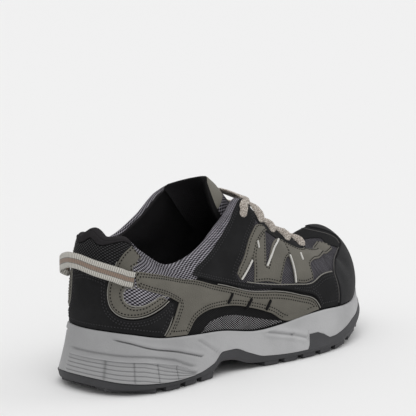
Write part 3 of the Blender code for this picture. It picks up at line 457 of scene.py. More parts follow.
def make_shell():
    q = even_ring(SHELL_PITCH)
    count = len(q)
    levels = np.linspace(0, 1, SHELL_ROWS + 1)
    normal = foot_outward(q)
    low = wall_face(q, 0.0)
    low[:, 2] = foot_bed(low[:, 0]) + GAP
    outer, inner = [low], [low - normal * WALL]
    for v in levels:
        up_wall = np.full(count, v)
        face = skin(chart(np.stack([q, up_wall], 1)), 0.0)
        n = normal if v == 0 else wall_outward(q, up_wall)
        outer.append(face)
        inner.append(face - n * wall_thickness(q, v)[:, None])
    place = np.minimum(q, RING - q)
    closed = place >= THROAT_END - 1e-6
    mate = (count - np.arange(count)) % count
    for layer in (outer, inner):
        top = layer[-1]
        top[closed] = 0.5 * (top[closed] + top[mate][closed])
    up = outer[-1] - outer[-2]
    up /= np.linalg.norm(up, axis=1, keepdims=True)
    centre, half = 0.5 * (outer[-1] + inner[-1]), 0.5 * (outer[-1] - inner[-1])
    swell = np.where(closed, 0.0, RIM_SWELL * np.linalg.norm(half, axis=1))[:, None]
    turns = [math.pi * r / RIM_ROWS for r in range(1, RIM_ROWS)]
    rim = [centre + half * math.cos(turn) + up * swell * math.sin(turn) for turn in turns]
    layers = outer + rim + inner[::-1]
    run = chart(np.stack([q, np.zeros(count)], 1))[:, 0]
    tall = np.interp(q, CHART_Q, CHART_TALL)
    heights = [0.0] + list(levels)
    heights += [1.0 + 0.02 * r for r in range(1, RIM_ROWS)] + list(levels[::-1]) + [0.0]
    uv = [np.stack([run, tall * h], 1) for h in heights]
    faces, kinds = [], []
    rows, rim_end = len(layers), len(outer) + len(rim)
    for r in range(rows):
        s = (r + 1) % rows
        in_rim = len(outer) - 1 <= r < rim_end
        for k in range(count):
            m = (k + 1) % count
            if in_rim and closed[k] and closed[m]:
                continue
            faces.append((r * count + k, r * count + m, s * count + m, s * count + k))
            over = RIM_OVER["outer" if q[k] < RING / 2 else "inner"]
            meshed = in_rim and r < len(outer) + over and MESH_BACK < place[k] < RIM_FRONT
            meshed |= RIM_BAND <= r < len(outer) and MESH_BACK < place[k] < BAND_FRONT
            netted = place[k] > MESH_FROM and r > LOW_ROWS
            kinds.append(4 if meshed else 2 if r >= rim_end else 1 if in_rim else 0 if netted else 3)
    piece = finish_piece(
        "upper_shell", np.concatenate(layers), faces, [VAMP_MESH, EDGE_ROLL, LINING, BACKING, PALE_MESH],
        ["upper"], np.concatenate(uv), kinds, 60,
    )
    cleaned = bmesh.new()
    cleaned.from_mesh(piece.data)
    bmesh.ops.remove_doubles(cleaned, verts=cleaned.verts, dist=1e-6)
    loose = [vert for vert in cleaned.verts if not vert.link_faces]
    bmesh.ops.delete(cleaned, geom=loose, context="VERTS")
    cleaned.to_mesh(piece.data)
    cleaned.free()


make_shell()

# Quarter and heel meshes.
# Foam-backed spacer mesh, cut to shape and lasted smooth: black round the heel, and pale
# grey-violet under the collar and in the two windows. Each is sewn down under its neighbours.
CORNER = math.radians(50)


def smooth_outline(spots, pitch, closed=True):
    """Even points along a curve through the given places, which keeps its sharp corners."""
    knots = chart(spots)
    n = len(knots)
    steps = np.roll(knots, -1, axis=0) - knots
    lengths = np.linalg.norm(steps, axis=1)
    ways = steps / np.maximum(lengths, 1e-9)[:, None]
    found = []
    for i in range(n if closed else n - 1):
        j = (i + 1) % n
        leans = []
        for k in (i, j):
            before, after = ways[(k - 1) % n], ways[k % n]
            turn = math.acos(float(np.clip(before @ after, -1, 1)))
            free_end = not closed and k in (0, n - 1)
            mean = before + after
            lean = ways[i] if turn > CORNER or free_end else mean / np.linalg.norm(mean)
            leans.append(lean * lengths[i])
        count = max(2, int(math.ceil(lengths[i] / pitch)))
        t = (np.arange(count) / count)[:, None]
        found.append(lean_curve(t, knots[i], leans[0], knots[j], leans[1]))
    if not closed:
        found.append(knots[-1:])
    return np.concatenate(found)


def inward_of(edge):
    run = np.roll(edge, -1, axis=0) - np.roll(edge, 1, axis=0)
    n = np.stack([-run[:, 1], run[:, 0]], 1)
    return n / np.linalg.norm(n, axis=1, keepdims=True)


def anticlockwise(edge):
    after = np.roll(edge, -1, axis=0)
    area = (edge[:, 0] * after[:, 1] - after[:, 0] * edge[:, 1]).sum()
    return edge if area > 0 else edge[::-1]


def inside(spots, edge):
    """Which places lie within a closed outline."""
    x, y = spots[:, 0:1], spots[:, 1:2]
    a, b = edge, np.roll(edge, -1, axis=0)
    spans = (a[None, :, 1] > y) != (b[None, :, 1] > y)
    rise = np.where(b[:, 1] == a[:, 1], 1e-12, b[:, 1] - a[:, 1])
    cut = a[:, 0] + (y - a[:, 1]) * (b[:, 0] - a[:, 0]) / rise
    return (spans & (x < cut)).sum(axis=1) % 2 == 1


def from_edge(spots, edge):
    """How far each place lies from a closed outline."""
    a, b = edge, np.roll(edge, -1, axis=0)
    along = b - a
    found = []
    for part in np.array_split(spots, max(1, len(spots) // 500)):
        t = ((part[:, None] - a) * along).sum(2) / np.maximum((along * along).sum(1), 1e-12)
        near = a + np.clip(t, 0, 1)[..., None] * along
        found.append(np.linalg.norm(part[:, None] - near, axis=2).min(axis=1))
    return np.concatenate(found)


def offset_ring(edge, depth):
    """The outline moved inwards, with which of its points are true."""
    ring = edge + inward_of(edge) * depth
    good = inside(ring, edge) & (from_edge(ring, edge) > 0.94 * depth)
    return ring, good


OUTLINE_PITCH = 1.1
EDGE_COURSES = {0.22, 0.6, 1.2}
EDGE_ROUND = 0.7
PUFF_RUN = 5.0
STITCH_DIP, STITCH_HALF = 0.2, 0.5


def panel(name, spots, thick, look, nodes=(), rows=(), puff=0.0, sunk=0.12, pitch=1.9):
    """A cut and skived piece laid on the shell: rounded edge, dips along its stitch rows."""
    edge = anticlockwise(smooth_outline(spots, OUTLINE_PITCH))
    parts = [edge]
    dips = {d + s for d in rows for s in (-STITCH_HALF, 0.0, STITCH_HALF)}
    depths = sorted(EDGE_COURSES | dips)
    for depth in depths:
        ring, good = offset_ring(edge, depth)
        parts.append(ring[good])
    low, high = edge.min(axis=0), edge.max(axis=0)
    xs = np.arange(low[0], high[0], pitch)
    ys = np.arange(low[1], high[1], pitch * 0.87)
    grid = np.array([(x + (j % 2) * pitch / 2, y) for j, y in enumerate(ys) for x in xs])
    grid = grid[inside(grid, edge)]
    grid = grid[from_edge(grid, edge) > depths[-1] + 0.5 * pitch] if len(grid) else grid
    parts.append(grid.reshape(-1, 2))
    spots_2d = [Vector(p) for p in np.concatenate(parts)]
    made = delaunay_2d_cdt(spots_2d, [], [list(range(len(edge)))], 1, 1e-3)
    flat = np.array([tuple(p) for p in made[0]])
    faces = [tuple(f) for f in made[2]]
    far = from_edge(flat, edge)
    round_off = np.sqrt(1 - (1 - np.clip(far / EDGE_ROUND, 0, 1)) ** 2)
    lift = sunk + thick * (0.35 + 0.65 * round_off) + puff * (1 - np.exp(-far / PUFF_RUN))
    for d in rows:
        lift -= STITCH_DIP * np.exp(-(((far - d) / STITCH_HALF) ** 2))
    n = len(flat)
    points = np.concatenate([skin(flat, lift), skin(flat, 0.03)])
    sides = {(f[i], f[(i + 1) % 3]) for f in faces for i in range(3)}
    faces_all = faces + [tuple(n + i for i in reversed(f)) for f in faces]
    faces_all += [(b, a, n + a, n + b) for a, b in sides if (b, a) not in sides]
    edge_far = np.concatenate([far, np.zeros(n)])
    uv = np.concatenate([flat, flat])
    finish_piece(name, points, faces_all, [look], nodes, uv, None, 45, edge_far)
    return edge


def other_side(spots):
    return [(RING - q, v) for q, v in spots]


SIDES = (("outer_", list), ("inner_", other_side))


def both_halves(spots, middle):
    """A half outline closed by its mirror image about the heel's or the toe's middle."""
    return spots + [(2 * middle - q, v) for q, v in spots[::-1] if abs(q - middle) > 1e-6]


# The heel mesh is black: the grey of its threads is a painted highlight.
HEEL_MESH = net_look("heel mesh", tone(88, 88, 90), tone(9, 9, 10), 3.4, 2.2, 0.72, 0.2, 0.0008)
NET_MESH = net_look("window net", tone(214, 212, 214), tone(14, 14, 16), 2.4, 1.5, 0.52, 0.12, 0.0005)

HEEL_MESH_HALF = [(0.0, 0.54), (1.30, 0.54), (1.80, 0.78), (2.45, 0.955), (1.95, 0.975)]
HEEL_MESH_HALF += [(1.45, 0.955), (0.80, 0.905), (0.45, 0.885), (0.0, 0.905)]
panel("heel_mesh", both_halves(HEEL_MESH_HALF, 0), 0.5, HEEL_MESH, puff=0.7, pitch=2.2)

COLLAR_MESH = [(2.10, 0.60), (2.95, 0.66), (3.75, 0.74), (4.30, 0.68), (4.75, 0.80), (5.30, 0.88)]
COLLAR_MESH += [(6.00, 0.90), (6.70, 0.92), (7.05, 0.95), (6.95, 0.985), (6.30, 0.965), (5.50, 0.945)]
COLLAR_MESH += [(4.80, 0.935), (4.00, 0.935), (3.20, 0.94), (2.30, 0.95), (2.15, 0.80)]
HEEL_WINDOW = [(2.25, 0.58), (1.80, 0.55), (1.60, 0.44), (1.66, 0.32), (2.00, 0.26), (2.45, 0.28)]
HEEL_WINDOW += [(2.95, 0.38), (3.50, 0.52), (3.10, 0.57)]
SIDE_WINDOW = [(7.20, 0.012), (6.60, 0.055), (5.90, 0.120), (5.40, 0.160), (4.85, 0.158)]
SIDE_WINDOW += [(4.50, 0.11), (4.32, 0.012)]
for side, turn in SIDES:
    panel(side + "collar_mesh", turn(COLLAR_MESH), 0.5, PALE_MESH, puff=0.9)
    panel(side + "heel_window", turn(HEEL_WINDOW), 0.3, PALE_MESH, puff=0.35)
    panel(side + "side_window", turn(SIDE_WINDOW), 0.3, NET_MESH, puff=0.2)

# Collar cuff.
# Smooth black knit over soft foam, sewn to the heel mesh along a dipped seam and turned over
# the edge to meet the lining.
CUFF_HALF = [(0.0, 0.915), (0.45, 0.895), (0.80, 0.915), (1.45, 0.965), (1.95, 0.985)]
CUFF_HALF += [(2.40, 0.970), (2.55, 0.998), (1.90, 0.998), (1.00, 0.998), (0.0, 0.998)]
panel("collar_cuff", both_halves(CUFF_HALF, 0), 0.7, EDGE_ROLL, puff=0.5, sunk=0.2)

# Toe cover.
# A black split-leather piece over the toe and round both sides, sewn over the vamp's mesh and
# under the rubber bumper.


def nubuck_look(name, colour):
    look = Look(name, 0.88, Specular_IOR_Level=0.12)
    where = look.place()
    nap = look.noise(where, 1500.0, 4.0, 0.7)
    blotch = look.noise(where, 60.0, 3.0)
    pits = look.cells(where, 1700.0)
    shade = look.mix(look.ramp(blotch, 0.35, 0.7), shaded(colour, 0.72), colour)
    light = shaded(colour, 1.7, 0.004)
    shade = look.mix(look.ramp(nap, 0.5, 0.75, 0.0, 0.45), shade, light)
    edge = look.add("ShaderNodeAttribute", attribute_name="edge", out=2)
    shade = look.mix(look.ramp(edge, 0.0, 0.5, 0.5, 0.0), shade, light)
    first = look.bump(nap, 0.00018)
    rough = look.ramp(nap, 0.3, 0.7, 0.78, 0.94)
    return look.wear(Base_Color=shade, Roughness=rough, Normal=look.bump(pits, 0.00010, first))


NUBUCK = nubuck_look("black nubuck", tone(33, 33, 34))
TOE_COVER_HALF = [(12.02, 1.0), (12.06, 0.945), (12.40, 0.90), (12.66, 0.83), (12.92, 0.735)]
TOE_COVER_HALF += [(12.62, 0.645), (12.74, 0.59), (12.95, 0.50), (13.70, 0.50), (14.20, 0.60)]
TOE_COVER_HALF += [(14.30, 0.80), (14.40, 0.94), (14.90, 0.955)]
TOE_COVER = TOE_COVER_HALF + [(q, 2.0 - v) for q, v in TOE_COVER_HALF[:0:-1]]
panel("toe_cover", TOE_COVER, 0.7, NUBUCK, sunk=0.15, pitch=2.0)

# Leather overlays.
# Taupe leather and black nubuck, cut flat, skived at the edge and sewn down with rows of dark
# thread sunk into the surface.


def leather_look(name, colour):
    look = Look(name, 0.62, Specular_IOR_Level=0.3)
    where = look.place()
    pebble = look.cells(where, 1100.0, "SMOOTH_F1")
    fine = look.noise(where, 2400.0, 3.0, 0.6)
    cloud = look.noise(where, 45.0, 3.0)
    dark = shaded(colour, 0.80)
    light = shaded(colour, 1.5)
    shade = look.mix(look.ramp(cloud, 0.3, 0.72), dark, colour)
    shade = look.mix(look.ramp(fine, 0.52, 0.75, 0.0, 0.3), shade, light)
    edge = look.add("ShaderNodeAttribute", attribute_name="edge", out=2)
    shade = look.mix(look.ramp(edge, 0.1, 0.6, 0.55, 0.0), shade, light)
    first = look.bump(pebble, 0.00022)
    rough = look.ramp(pebble, 0.0, 0.6, 0.56, 0.72)
    return look.wear(Base_Color=shade, Roughness=rough, Normal=look.bump(fine, 0.00010, first))


def thread_look(name, colour):
    look = Look(name, 0.7, Specular_IOR_Level=0.2)
    twist = look.noise(look.place(), 3000.0, 1.0)
    shade = look.mix(twist, shaded(colour, 0.5), colour)
    return look.wear(Base_Color=shade)


TAUPE = leather_look("taupe leather", tone(103, 100, 92))
DARK_THREAD = thread_look("dark thread", tone(22, 20, 18))
# The thread is black: its grey colour is a painted glint on the stitches.
BLACK_THREAD = thread_look("black thread", tone(56, 56, 58))

STITCH_INPUTS = (("Pitch", "Float", 0.0026), ("Size", "Vector", (0.0015, 0.0010, 0.0007)))


def thread_tree():
    """Beads of thread along each line, turned with it and standing on the leather."""
    tree = bpy.data.node_groups.new("sewn rows", "GeometryNodeTree")
    tree.interface.new_socket("Geometry", in_out="INPUT", socket_type="NodeSocketGeometry")
    for name, kind, start in STITCH_INPUTS:
        socket = tree.interface.new_socket(name, in_out="INPUT", socket_type="NodeSocket" + kind)
        socket.default_value = start
    tree.interface.new_socket("Thread", in_out="INPUT", socket_type="NodeSocketMaterial")
    tree.interface.new_socket("Geometry", in_out="OUTPUT", socket_type="NodeSocketGeometry")
    new, link = tree.nodes.new, tree.links.new
    given, out = new("NodeGroupInput"), new("NodeGroupOutput")
    line, even = new("GeometryNodeMeshToCurve"), new("GeometryNodeResampleCurve")
    even.mode = "LENGTH"
    along, outward = new("GeometryNodeInputTangent"), new("GeometryNodeInputNamedAttribute")
    outward.data_type = "FLOAT_VECTOR"
    outward.inputs["Name"].default_value = "outward"
    turn, stand = new("FunctionNodeAlignRotationToVector"), new("FunctionNodeAlignRotationToVector")
    turn.axis = "X"
    stand.axis, stand.pivot_axis = "Z", "X"
    bead, sew = new("GeometryNodeMeshUVSphere"), new("GeometryNodeInstanceOnPoints")
    bead.inputs["Segments"].default_value = 6
    bead.inputs["Rings"].default_value = 4
    bead.inputs["Radius"].default_value = 0.5
    real, paint = new("GeometryNodeRealizeInstances"), new("GeometryNodeSetMaterial")
    smooth = new("GeometryNodeSetShadeSmooth")
    link(given.outputs["Geometry"], line.inputs["Mesh"])
    link(line.outputs["Curve"], even.inputs["Curve"])
    link(given.outputs["Pitch"], even.inputs["Length"])
    link(along.outputs["Tangent"], turn.inputs["Vector"])
    link(turn.outputs["Rotation"], stand.inputs["Rotation"])
    link(outward.outputs["Attribute"], stand.inputs["Vector"])
    link(even.outputs["Curve"], sew.inputs["Points"])
    link(bead.outputs["Mesh"], sew.inputs["Instance"])
    link(stand.outputs["Rotation"], sew.inputs["Rotation"])
    link(given.outputs["Size"], sew.inputs["Scale"])
    link(sew.outputs["Instances"], real.inputs["Geometry"])
    link(real.outputs["Geometry"], smooth.inputs["Geometry"])
    link(smooth.outputs["Geometry"], paint.inputs["Geometry"])
    link(given.outputs["Thread"], paint.inputs["Material"])
    link(paint.outputs["Geometry"], out.inputs["Geometry"])
    return tree


THREAD_TREE = thread_tree()


def grow(name, lines, tree, slot, **inputs):
    """Runs a node tree along lines of (places, outward ways) and keeps the plain mesh."""
    points, edges, ways = [], [], []
    for places, outward in lines:
        start = len(points)
        points += to_world(places).tolist()
        ways += np.asarray(outward).tolist()
        edges += [(start + i, start + i + 1) for i in range(len(places) - 1)]
    guide_mesh = bpy.data.meshes.new(name + "_guide")
    guide_mesh.from_pydata(points, edges, [])
    stored = guide_mesh.attributes.new("outward", "FLOAT_VECTOR", "POINT")
    stored.data.foreach_set("vector", np.array(ways, np.float32).ravel())
    guide = bpy.data.objects.new(name + "_guide", guide_mesh)
    bpy.context.scene.collection.objects.link(guide)
    grown = guide.modifiers.new("grow", "NODES")
    grown.node_group = tree
    for item in tree.interface.items_tree:
        if item.item_type == "SOCKET" and item.in_out == "INPUT" and item.name in inputs:
            grown[item.identifier] = inputs[item.name]
    ready = bpy.context.evaluated_depsgraph_get()
    mesh = bpy.data.meshes.new_from_object(guide.evaluated_get(ready), depsgraph=ready)
    bpy.data.objects.remove(guide)
    piece = bpy.data.objects.new(name, mesh)
    bpy.context.scene.collection.objects.link(piece)
    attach(piece, "root")


STITCH_PITCH = 2.3
STITCH_SPAN = (0.045, 0.985)


def sewn_lines(edge, depth, lift):
    """The stretches of a stitch row at one depth inside an outline, where the row shows."""
    ring, good = offset_ring(edge, depth)
    q, v = unchart(ring)
    good &= (v > STITCH_SPAN[0]) & (v < STITCH_SPAN[1])
    places, outward = skin(ring, lift), wall_outward(q, v)
    if good.all():
        good[0] = False
    start = int(np.argmin(good))
    order = np.roll(np.arange(len(ring)), -start)
    lines, run = [], []
    for i in order:
        if good[i]:
            run.append(i)
        elif run:
            lines.append(run)
            run = []
    if run:
        lines.append(run)
    return [(places[r], outward[r]) for r in lines if len(r) > 4]


def sewn_panel(name, spots, thick, look, thread, slot, rows, node=None):
    """A panel with its rows of stitches, which show from just above the sole to the edge."""
    edge = panel(name, spots, thick, look, [node] if node else (), rows)
    lines = []
    for depth in rows:
        lines += sewn_lines(edge, depth, 0.12 + thick - 0.08)
    if lines:
        grow(name + "_stitches", lines, THREAD_TREE, slot, Pitch=STITCH_PITCH * MM, Thread=thread)


OVERLAY = 1.2
HEEL_COUNTER = [
    (0.00, 0.56), (1.12, 0.56), (1.05, 0.40), (1.18, 0.25), (1.56, 0.17), (2.08, 0.155),
    (2.53, 0.20), (2.98, 0.30), (3.34, 0.42), (3.44, 0.42), (3.40, 0.32), (3.20, 0.14),
    (3.05, 0.012), (1.50, 0.012), (0.00, 0.012),
]
sewn_panel(
    "heel_counter", both_halves(HEEL_COUNTER, 0), OVERLAY, NUBUCK, BLACK_THREAD, "black_nubuck",
    (1.8, 3.6), "heel_counter",
)
HEEL_RING = [
    (2.30, 0.970), (1.90, 0.85), (1.60, 0.74), (1.40, 0.62), (1.18, 0.50), (1.12, 0.40),
    (1.25, 0.28), (1.60, 0.205), (2.05, 0.19), (2.45, 0.23), (2.90, 0.33), (3.28, 0.45),
    (3.05, 0.47), (2.80, 0.41), (2.35, 0.31), (2.00, 0.29), (1.78, 0.34), (1.70, 0.42),
    (1.88, 0.49), (2.17, 0.50), (2.17, 0.70), (2.50, 0.78), (2.75, 0.90),
]
SIDE_BAND = [
    (2.25, 0.50), (2.25, 0.67), (2.95, 0.74), (3.75, 0.83), (4.35, 0.76), (4.95, 0.55),
    (5.65, 0.37), (6.70, 0.23), (7.85, 0.16), (8.50, 0.10), (8.75, 0.012), (7.25, 0.012),
    (6.65, 0.10), (6.05, 0.18), (5.55, 0.24), (5.00, 0.28), (4.40, 0.28), (4.05, 0.20),
    (3.82, 0.012), (3.15, 0.012), (3.30, 0.14), (3.50, 0.32), (3.66, 0.45), (3.30, 0.50),
]
EYESTAY = [
    (7.00, 0.96), (6.40, 0.925), (5.70, 0.905), (5.10, 0.895), (4.60, 0.85), (4.42, 0.80),
    (5.03, 0.575), (5.70, 0.385), (6.75, 0.25), (7.90, 0.19), (8.62, 0.13), (8.86, 0.012),
    (10.05, 0.012), (10.12, 0.14), (10.18, 0.28), (10.20, 0.37), (9.25, 0.33), (8.50, 0.245),
    (7.80, 0.24), (7.15, 0.24), (6.35, 0.315), (5.95, 0.385), (5.70, 0.432), (5.665, 0.50),
    (5.82, 0.545), (6.05, 0.58), (6.45, 0.64), (6.76, 0.664), (7.02, 0.70), (7.16, 0.78),
    (7.22, 0.88), (7.25, 0.97),
]
FINGER_REAR = [
    (7.30, 0.685), (7.02, 0.672), (6.78, 0.650), (6.48, 0.628), (6.08, 0.568), (5.86, 0.535),
    (5.72, 0.500), (5.77, 0.440), (5.98, 0.462), (6.24, 0.488), (6.47, 0.512), (6.72, 0.556),
    (7.22, 0.620), (7.40, 0.650),
]
FINGER_MIDDLE = [
    (7.30, 0.650), (7.05, 0.608), (6.66, 0.560), (6.44, 0.508), (6.34, 0.440), (6.20, 0.360),
    (6.70, 0.302), (7.20, 0.252), (7.30, 0.300), (7.42, 0.345), (7.60, 0.410), (7.80, 0.468),
    (7.98, 0.500), (8.12, 0.590), (8.22, 0.680), (7.90, 0.662), (7.62, 0.600), (7.32, 0.520),
    (7.05, 0.440), (6.86, 0.384), (6.80, 0.400), (6.90, 0.450), (7.04, 0.520), (7.20, 0.600),
]
FINGER_FRONT = [
    (8.10, 0.690), (8.05, 0.600), (7.96, 0.505), (7.90, 0.420), (7.84, 0.340), (7.78, 0.268),
    (8.25, 0.262), (8.66, 0.288), (8.74, 0.355), (8.83, 0.440), (9.22, 0.515), (9.90, 0.575),
    (10.75, 0.635), (11.70, 0.610), (12.50, 0.575), (12.60, 0.610), (12.62, 0.690),
    (12.50, 0.755), (11.70, 0.762), (10.80, 0.745), (9.90, 0.722), (9.28, 0.700),
    (9.00, 0.655), (8.70, 0.636), (8.40, 0.655),
]
THROAT_FACING = [
    (7.02, 0.965), (7.06, 0.80), (7.16, 0.690), (7.32, 0.640), (7.80, 0.650), (8.12, 0.668),
    (8.42, 0.640), (8.75, 0.612), (9.15, 0.640), (9.50, 0.700), (9.72, 0.800), (9.85, 0.880),
    (9.95, 0.965), (8.50, 0.965),
]
TAUPE_PIECES = (
    ("heel_ring", HEEL_RING, (1.5,)),
    ("side_band", SIDE_BAND, (1.6, 3.5)),
    ("finger_rear", FINGER_REAR, (1.2,)),
    ("finger_middle", FINGER_MIDDLE, (1.4,)),
    ("finger_front", FINGER_FRONT, (1.4,)),
)
BLACK_PIECES = (("throat_facing", THROAT_FACING, 0.7, ()), ("eyestay", EYESTAY, OVERLAY, (1.6, 3.4)))
for side, turn in SIDES:
    for name, spots, rows in TAUPE_PIECES:
        name = side + name
        sewn_panel(name, turn(spots), OVERLAY, TAUPE, DARK_THREAD, "taupe_leather", rows, name)
    for name, spots, thick, rows in BLACK_PIECES:
        node = side + name if rows else None
        sewn_panel(side + name, turn(spots), thick, NUBUCK, BLACK_THREAD, "black_nubuck", rows, node)

# Toe bumper.
# A film of matt black rubber, 1.8 mm thick, moulded to the toe. It is cemented over the toe cover
# and the mudguard's front, and goes down inside the sole's lip.


def rubber_look(name, colour, roughness, grain):
    look = Look(name, roughness, Specular_IOR_Level=0.2)
    where = look.place()
    specks = look.noise(where, 1300.0, 3.0, 0.6)
    cloud = look.noise(where, 30.0, 3.0)
    dark = shaded(colour, 0.82)
    shade = look.mix(look.ramp(cloud, 0.3, 0.7), dark, colour)
    rough = look.ramp(specks, 0.3, 0.7, roughness - 0.08, roughness + 0.08)
    return look.wear(Base_Color=shade, Roughness=rough, Normal=look.bump(specks, grain))


TOE_RUBBER = rubber_look("toe rubber", tone(24, 24, 26), 0.66, 0.00007)
TOE_BUMPER = [
    (15.00, 0.975), (14.50, 0.975), (14.10, 0.955), (13.90, 0.90), (13.84, 0.82), (13.88, 0.66),
    (13.90, 0.56), (13.60, 0.51), (12.70, 0.50), (11.60, 0.49), (10.90, 0.46), (10.40, 0.38),
    (10.27, 0.28), (10.22, 0.14), (10.15, 0.012), (12.00, 0.012), (15.00, 0.012),
]
panel("toe_bumper", both_halves(TOE_BUMPER, 15), 1.8, TOE_RUBBER, ["toe_bumper"])

# Piping and cords.
# Pale piping is caught in the seams of the heel ring, the fingers and the toe. Short round white
# cords are pulled through the side and sewn in, as loops for the lace.


def bands(rows, count):
    """Faces between closed rings of points, each ring of count points after the one before."""
    found = []
    for low in range(0, (rows - 1) * count, count):
        for k in range(count):
            m = (k + 1) % count
            found.append((low + k, low + m, low + count + m, low + count + k))
    return found


def rod(path, radius, sides):
    """A round cord along points, with closed round ends, and its own along and round places."""
    path = np.asarray(path, float)
    run = np.gradient(path, axis=0)
    run /= np.linalg.norm(run, axis=1, keepdims=True)
    side = np.cross(run[0], [0.0, 0.0, 1.0])
    side = side / np.linalg.norm(side) if np.linalg.norm(side) > 1e-6 else np.array([1.0, 0.0, 0.0])
    ups = []
    for way in run:
        side = side - way * (side @ way)
        side /= np.linalg.norm(side)
        ups.append(side.copy())
    last = len(path) - 1
    stations = [(0, -80), (0, -55), (0, -25)] + [(k, 0) for k in range(len(path))]
    stations += [(last, 25), (last, 55), (last, 80)]
    points, uv = [], []
    far = 0.0
    for i, (k, degrees) in enumerate(stations):
        turn = math.radians(degrees)
        centre, size = path[k] + run[k] * radius * math.sin(turn), radius * math.cos(turn)
        far += np.linalg.norm(centre - before) if i else 0.0
        before = centre
        other = np.cross(run[k], ups[k])
        for j in range(sides):
            a = 2 * math.pi * j / sides
            points.append(centre + (ups[k] * math.cos(a) + other * math.sin(a)) * size)
            uv.append((far, j / sides * 2 * math.pi * radius))
    faces = bands(len(stations), sides)
    faces.append(tuple(reversed(range(sides))))
    faces.append(tuple(len(points) - sides + j for j in range(sides)))
    return points, faces, uv


def cord_look(name, colour, dark, rib=1.1, depth=0.00012):
    look = Look(name, 0.8, Specular_IOR_Level=0.2)
    weave = look.holes(rib, rib, 0.22 * rib, 0.16 * rib)
    fuzz = look.noise(look.place(), 2500.0, 3.0)
    shade = look.mix(weave, dark, colour)
    shade = look.mix(look.ramp(fuzz, 0.3, 0.7, 0.0, 0.3), shade, dark)
    return look.wear(Base_Color=shade, Normal=look.bump(weave, depth))


WHITE_CORD = cord_look("white cord", tone(238, 237, 233), tone(178, 176, 170))
PIPING = cord_look("pale piping", tone(168, 166, 160), tone(112, 110, 104), 0.8, 0.00008)
TOE_CORD = cord_look("grey piping", tone(118, 116, 114), tone(70, 69, 68), 0.8, 0.00008)
BLACK_CORD = cord_look("black binding", tone(13, 13, 14), tone(5, 5, 6), 0.8, 0.00008)


def laid_rods(name, lines, radius, lift, look, slot, sides):
    points, faces, uv = [], [], []
    for spots in lines:
        flat = smooth_outline(spots, 1.2, closed=False)
        p, f, u = rod(skin(flat, lift), radius, sides)
        faces += [tuple(i + len(points) for i in face) for face in f]
        points += p
        uv += u
    finish_piece(name, points, faces, [look], (), uv)


RING_PIPING = [(2.20, 0.485), (1.90, 0.475), (1.72, 0.42), (1.77, 0.345), (2.00, 0.305)]
RING_PIPING += [(2.35, 0.315), (2.80, 0.405), (3.05, 0.462), (3.30, 0.505)]
BAND_PIPING = [(5.05, 0.535), (5.66, 0.375), (6.70, 0.238), (7.85, 0.168), (8.52, 0.108), (8.78, 0.03)]
FINGER_PIPING = [(5.95, 0.395), (6.38, 0.325), (7.18, 0.250), (7.80, 0.250), (8.50, 0.256)]
FINGER_PIPING += [(9.25, 0.340), (10.16, 0.380)]
RING_EDGE = [(1.55, 0.735), (1.36, 0.62), (1.15, 0.50), (1.09, 0.40), (1.21, 0.275), (1.58, 0.195)]
RING_EDGE += [(2.05, 0.178), (2.47, 0.218), (2.93, 0.318), (3.30, 0.435)]
BACK_EDGE = [(3.40, 0.36), (3.24, 0.15), (3.10, 0.03)]
TOE_PIPING = [(12.92, 0.51), (12.62, 0.515), (11.60, 0.505), (10.92, 0.478), (10.50, 0.405)]
TOE_PIPING += [(10.28, 0.33), (10.18, 0.17), (10.10, 0.04)]
BUMPER_PIPING = [(13.80, 0.992), (13.66, 0.945), (13.54, 0.885), (13.50, 0.820), (13.52, 0.740)]
BUMPER_PIPING += [(13.60, 0.645), (13.62, 0.56), (13.36, 0.515)]
CORDS = [
    [(6.30, 0.500), (6.04, 0.474), (5.79, 0.442)],
    [(6.75, 0.565), (6.71, 0.530)],
    [(7.96, 0.495), (7.91, 0.42), (7.85, 0.34), (7.78, 0.268)],
    [(8.62, 0.560), (8.54, 0.490)],
]
V_CORD = [(7.84, 0.640), (7.60, 0.570), (7.35, 0.505), (7.05, 0.430), (6.84, 0.392)]
SLASHES = [
    [(5.38, 0.365), (5.30, 0.335), (5.22, 0.305)], [(5.95, 0.258), (5.85, 0.232), (5.75, 0.205)],
    [(6.66, 0.178), (6.57, 0.159), (6.48, 0.140)],
]
SEAMS = [RING_PIPING, RING_EDGE, BACK_EDGE, FINGER_PIPING]
# Each set of cords: its lines, radius, height off the shell, look, slot and number of sides
CORD_SETS = (
    ("piping", SEAMS, 0.42, 0.8, PIPING, "lace_cord", 6),
    ("toe_piping", [TOE_PIPING, BUMPER_PIPING], 0.34, 0.9, TOE_CORD, "lace_cord", 6),
    ("band_piping", [BAND_PIPING], 0.4, 1.35, PIPING, "lace_cord", 6),
    ("cords", CORDS, 0.75, 1.55, WHITE_CORD, "lace_cord", 8),
    ("v_cord", [V_CORD], 0.85, 1.2, WHITE_CORD, "lace_cord", 8),
)
for side, turn in SIDES:
    for name, lines, *kind in CORD_SETS:
        laid_rods(side + name, [turn(line) for line in lines], *kind)
for side, turn in SIDES:
    slashes = [turn(line) for line in SLASHES]
    laid_rods(side + "slashes", slashes, 1.15, 1.45, BLACK_CORD, "upper_mesh", 6)

# Tongue.
# A foam tongue sewn under the vamp: taupe leather panel at its top, grey mesh below, black
# lining behind and a dark tape bound round its edge.
BALL_CURVE = 2.6
TONGUE_PAD = 5.0
TONGUE_CORNER = 8.0
TONGUE_ROWS = np.array([
    (0.743, 0.555, 0.150, 0.03, 0.00, 35), (0.700, 0.602, 0.175, 0.05, 0.00, 35),
    (0.650, 0.668, 0.205, 0.09, 0.00, 36), (0.597, 0.755, 0.225, 0.15, 0.00, 40),
    (0.543, 0.858, 0.225, 0.22, 0.00, 46), (0.503, 0.950, 0.215, 0.26, 0.00, 50),
    (0.470, 1.030, 0.210, 0.25, 0.02, 56), (0.437, 1.088, 0.220, 0.20, 0.06, 66),
    (0.400, 1.130, 0.240, 0.13, 0.11, 80),
])
TONGUE_STEPS = 48
TONGUE_FINE = 72
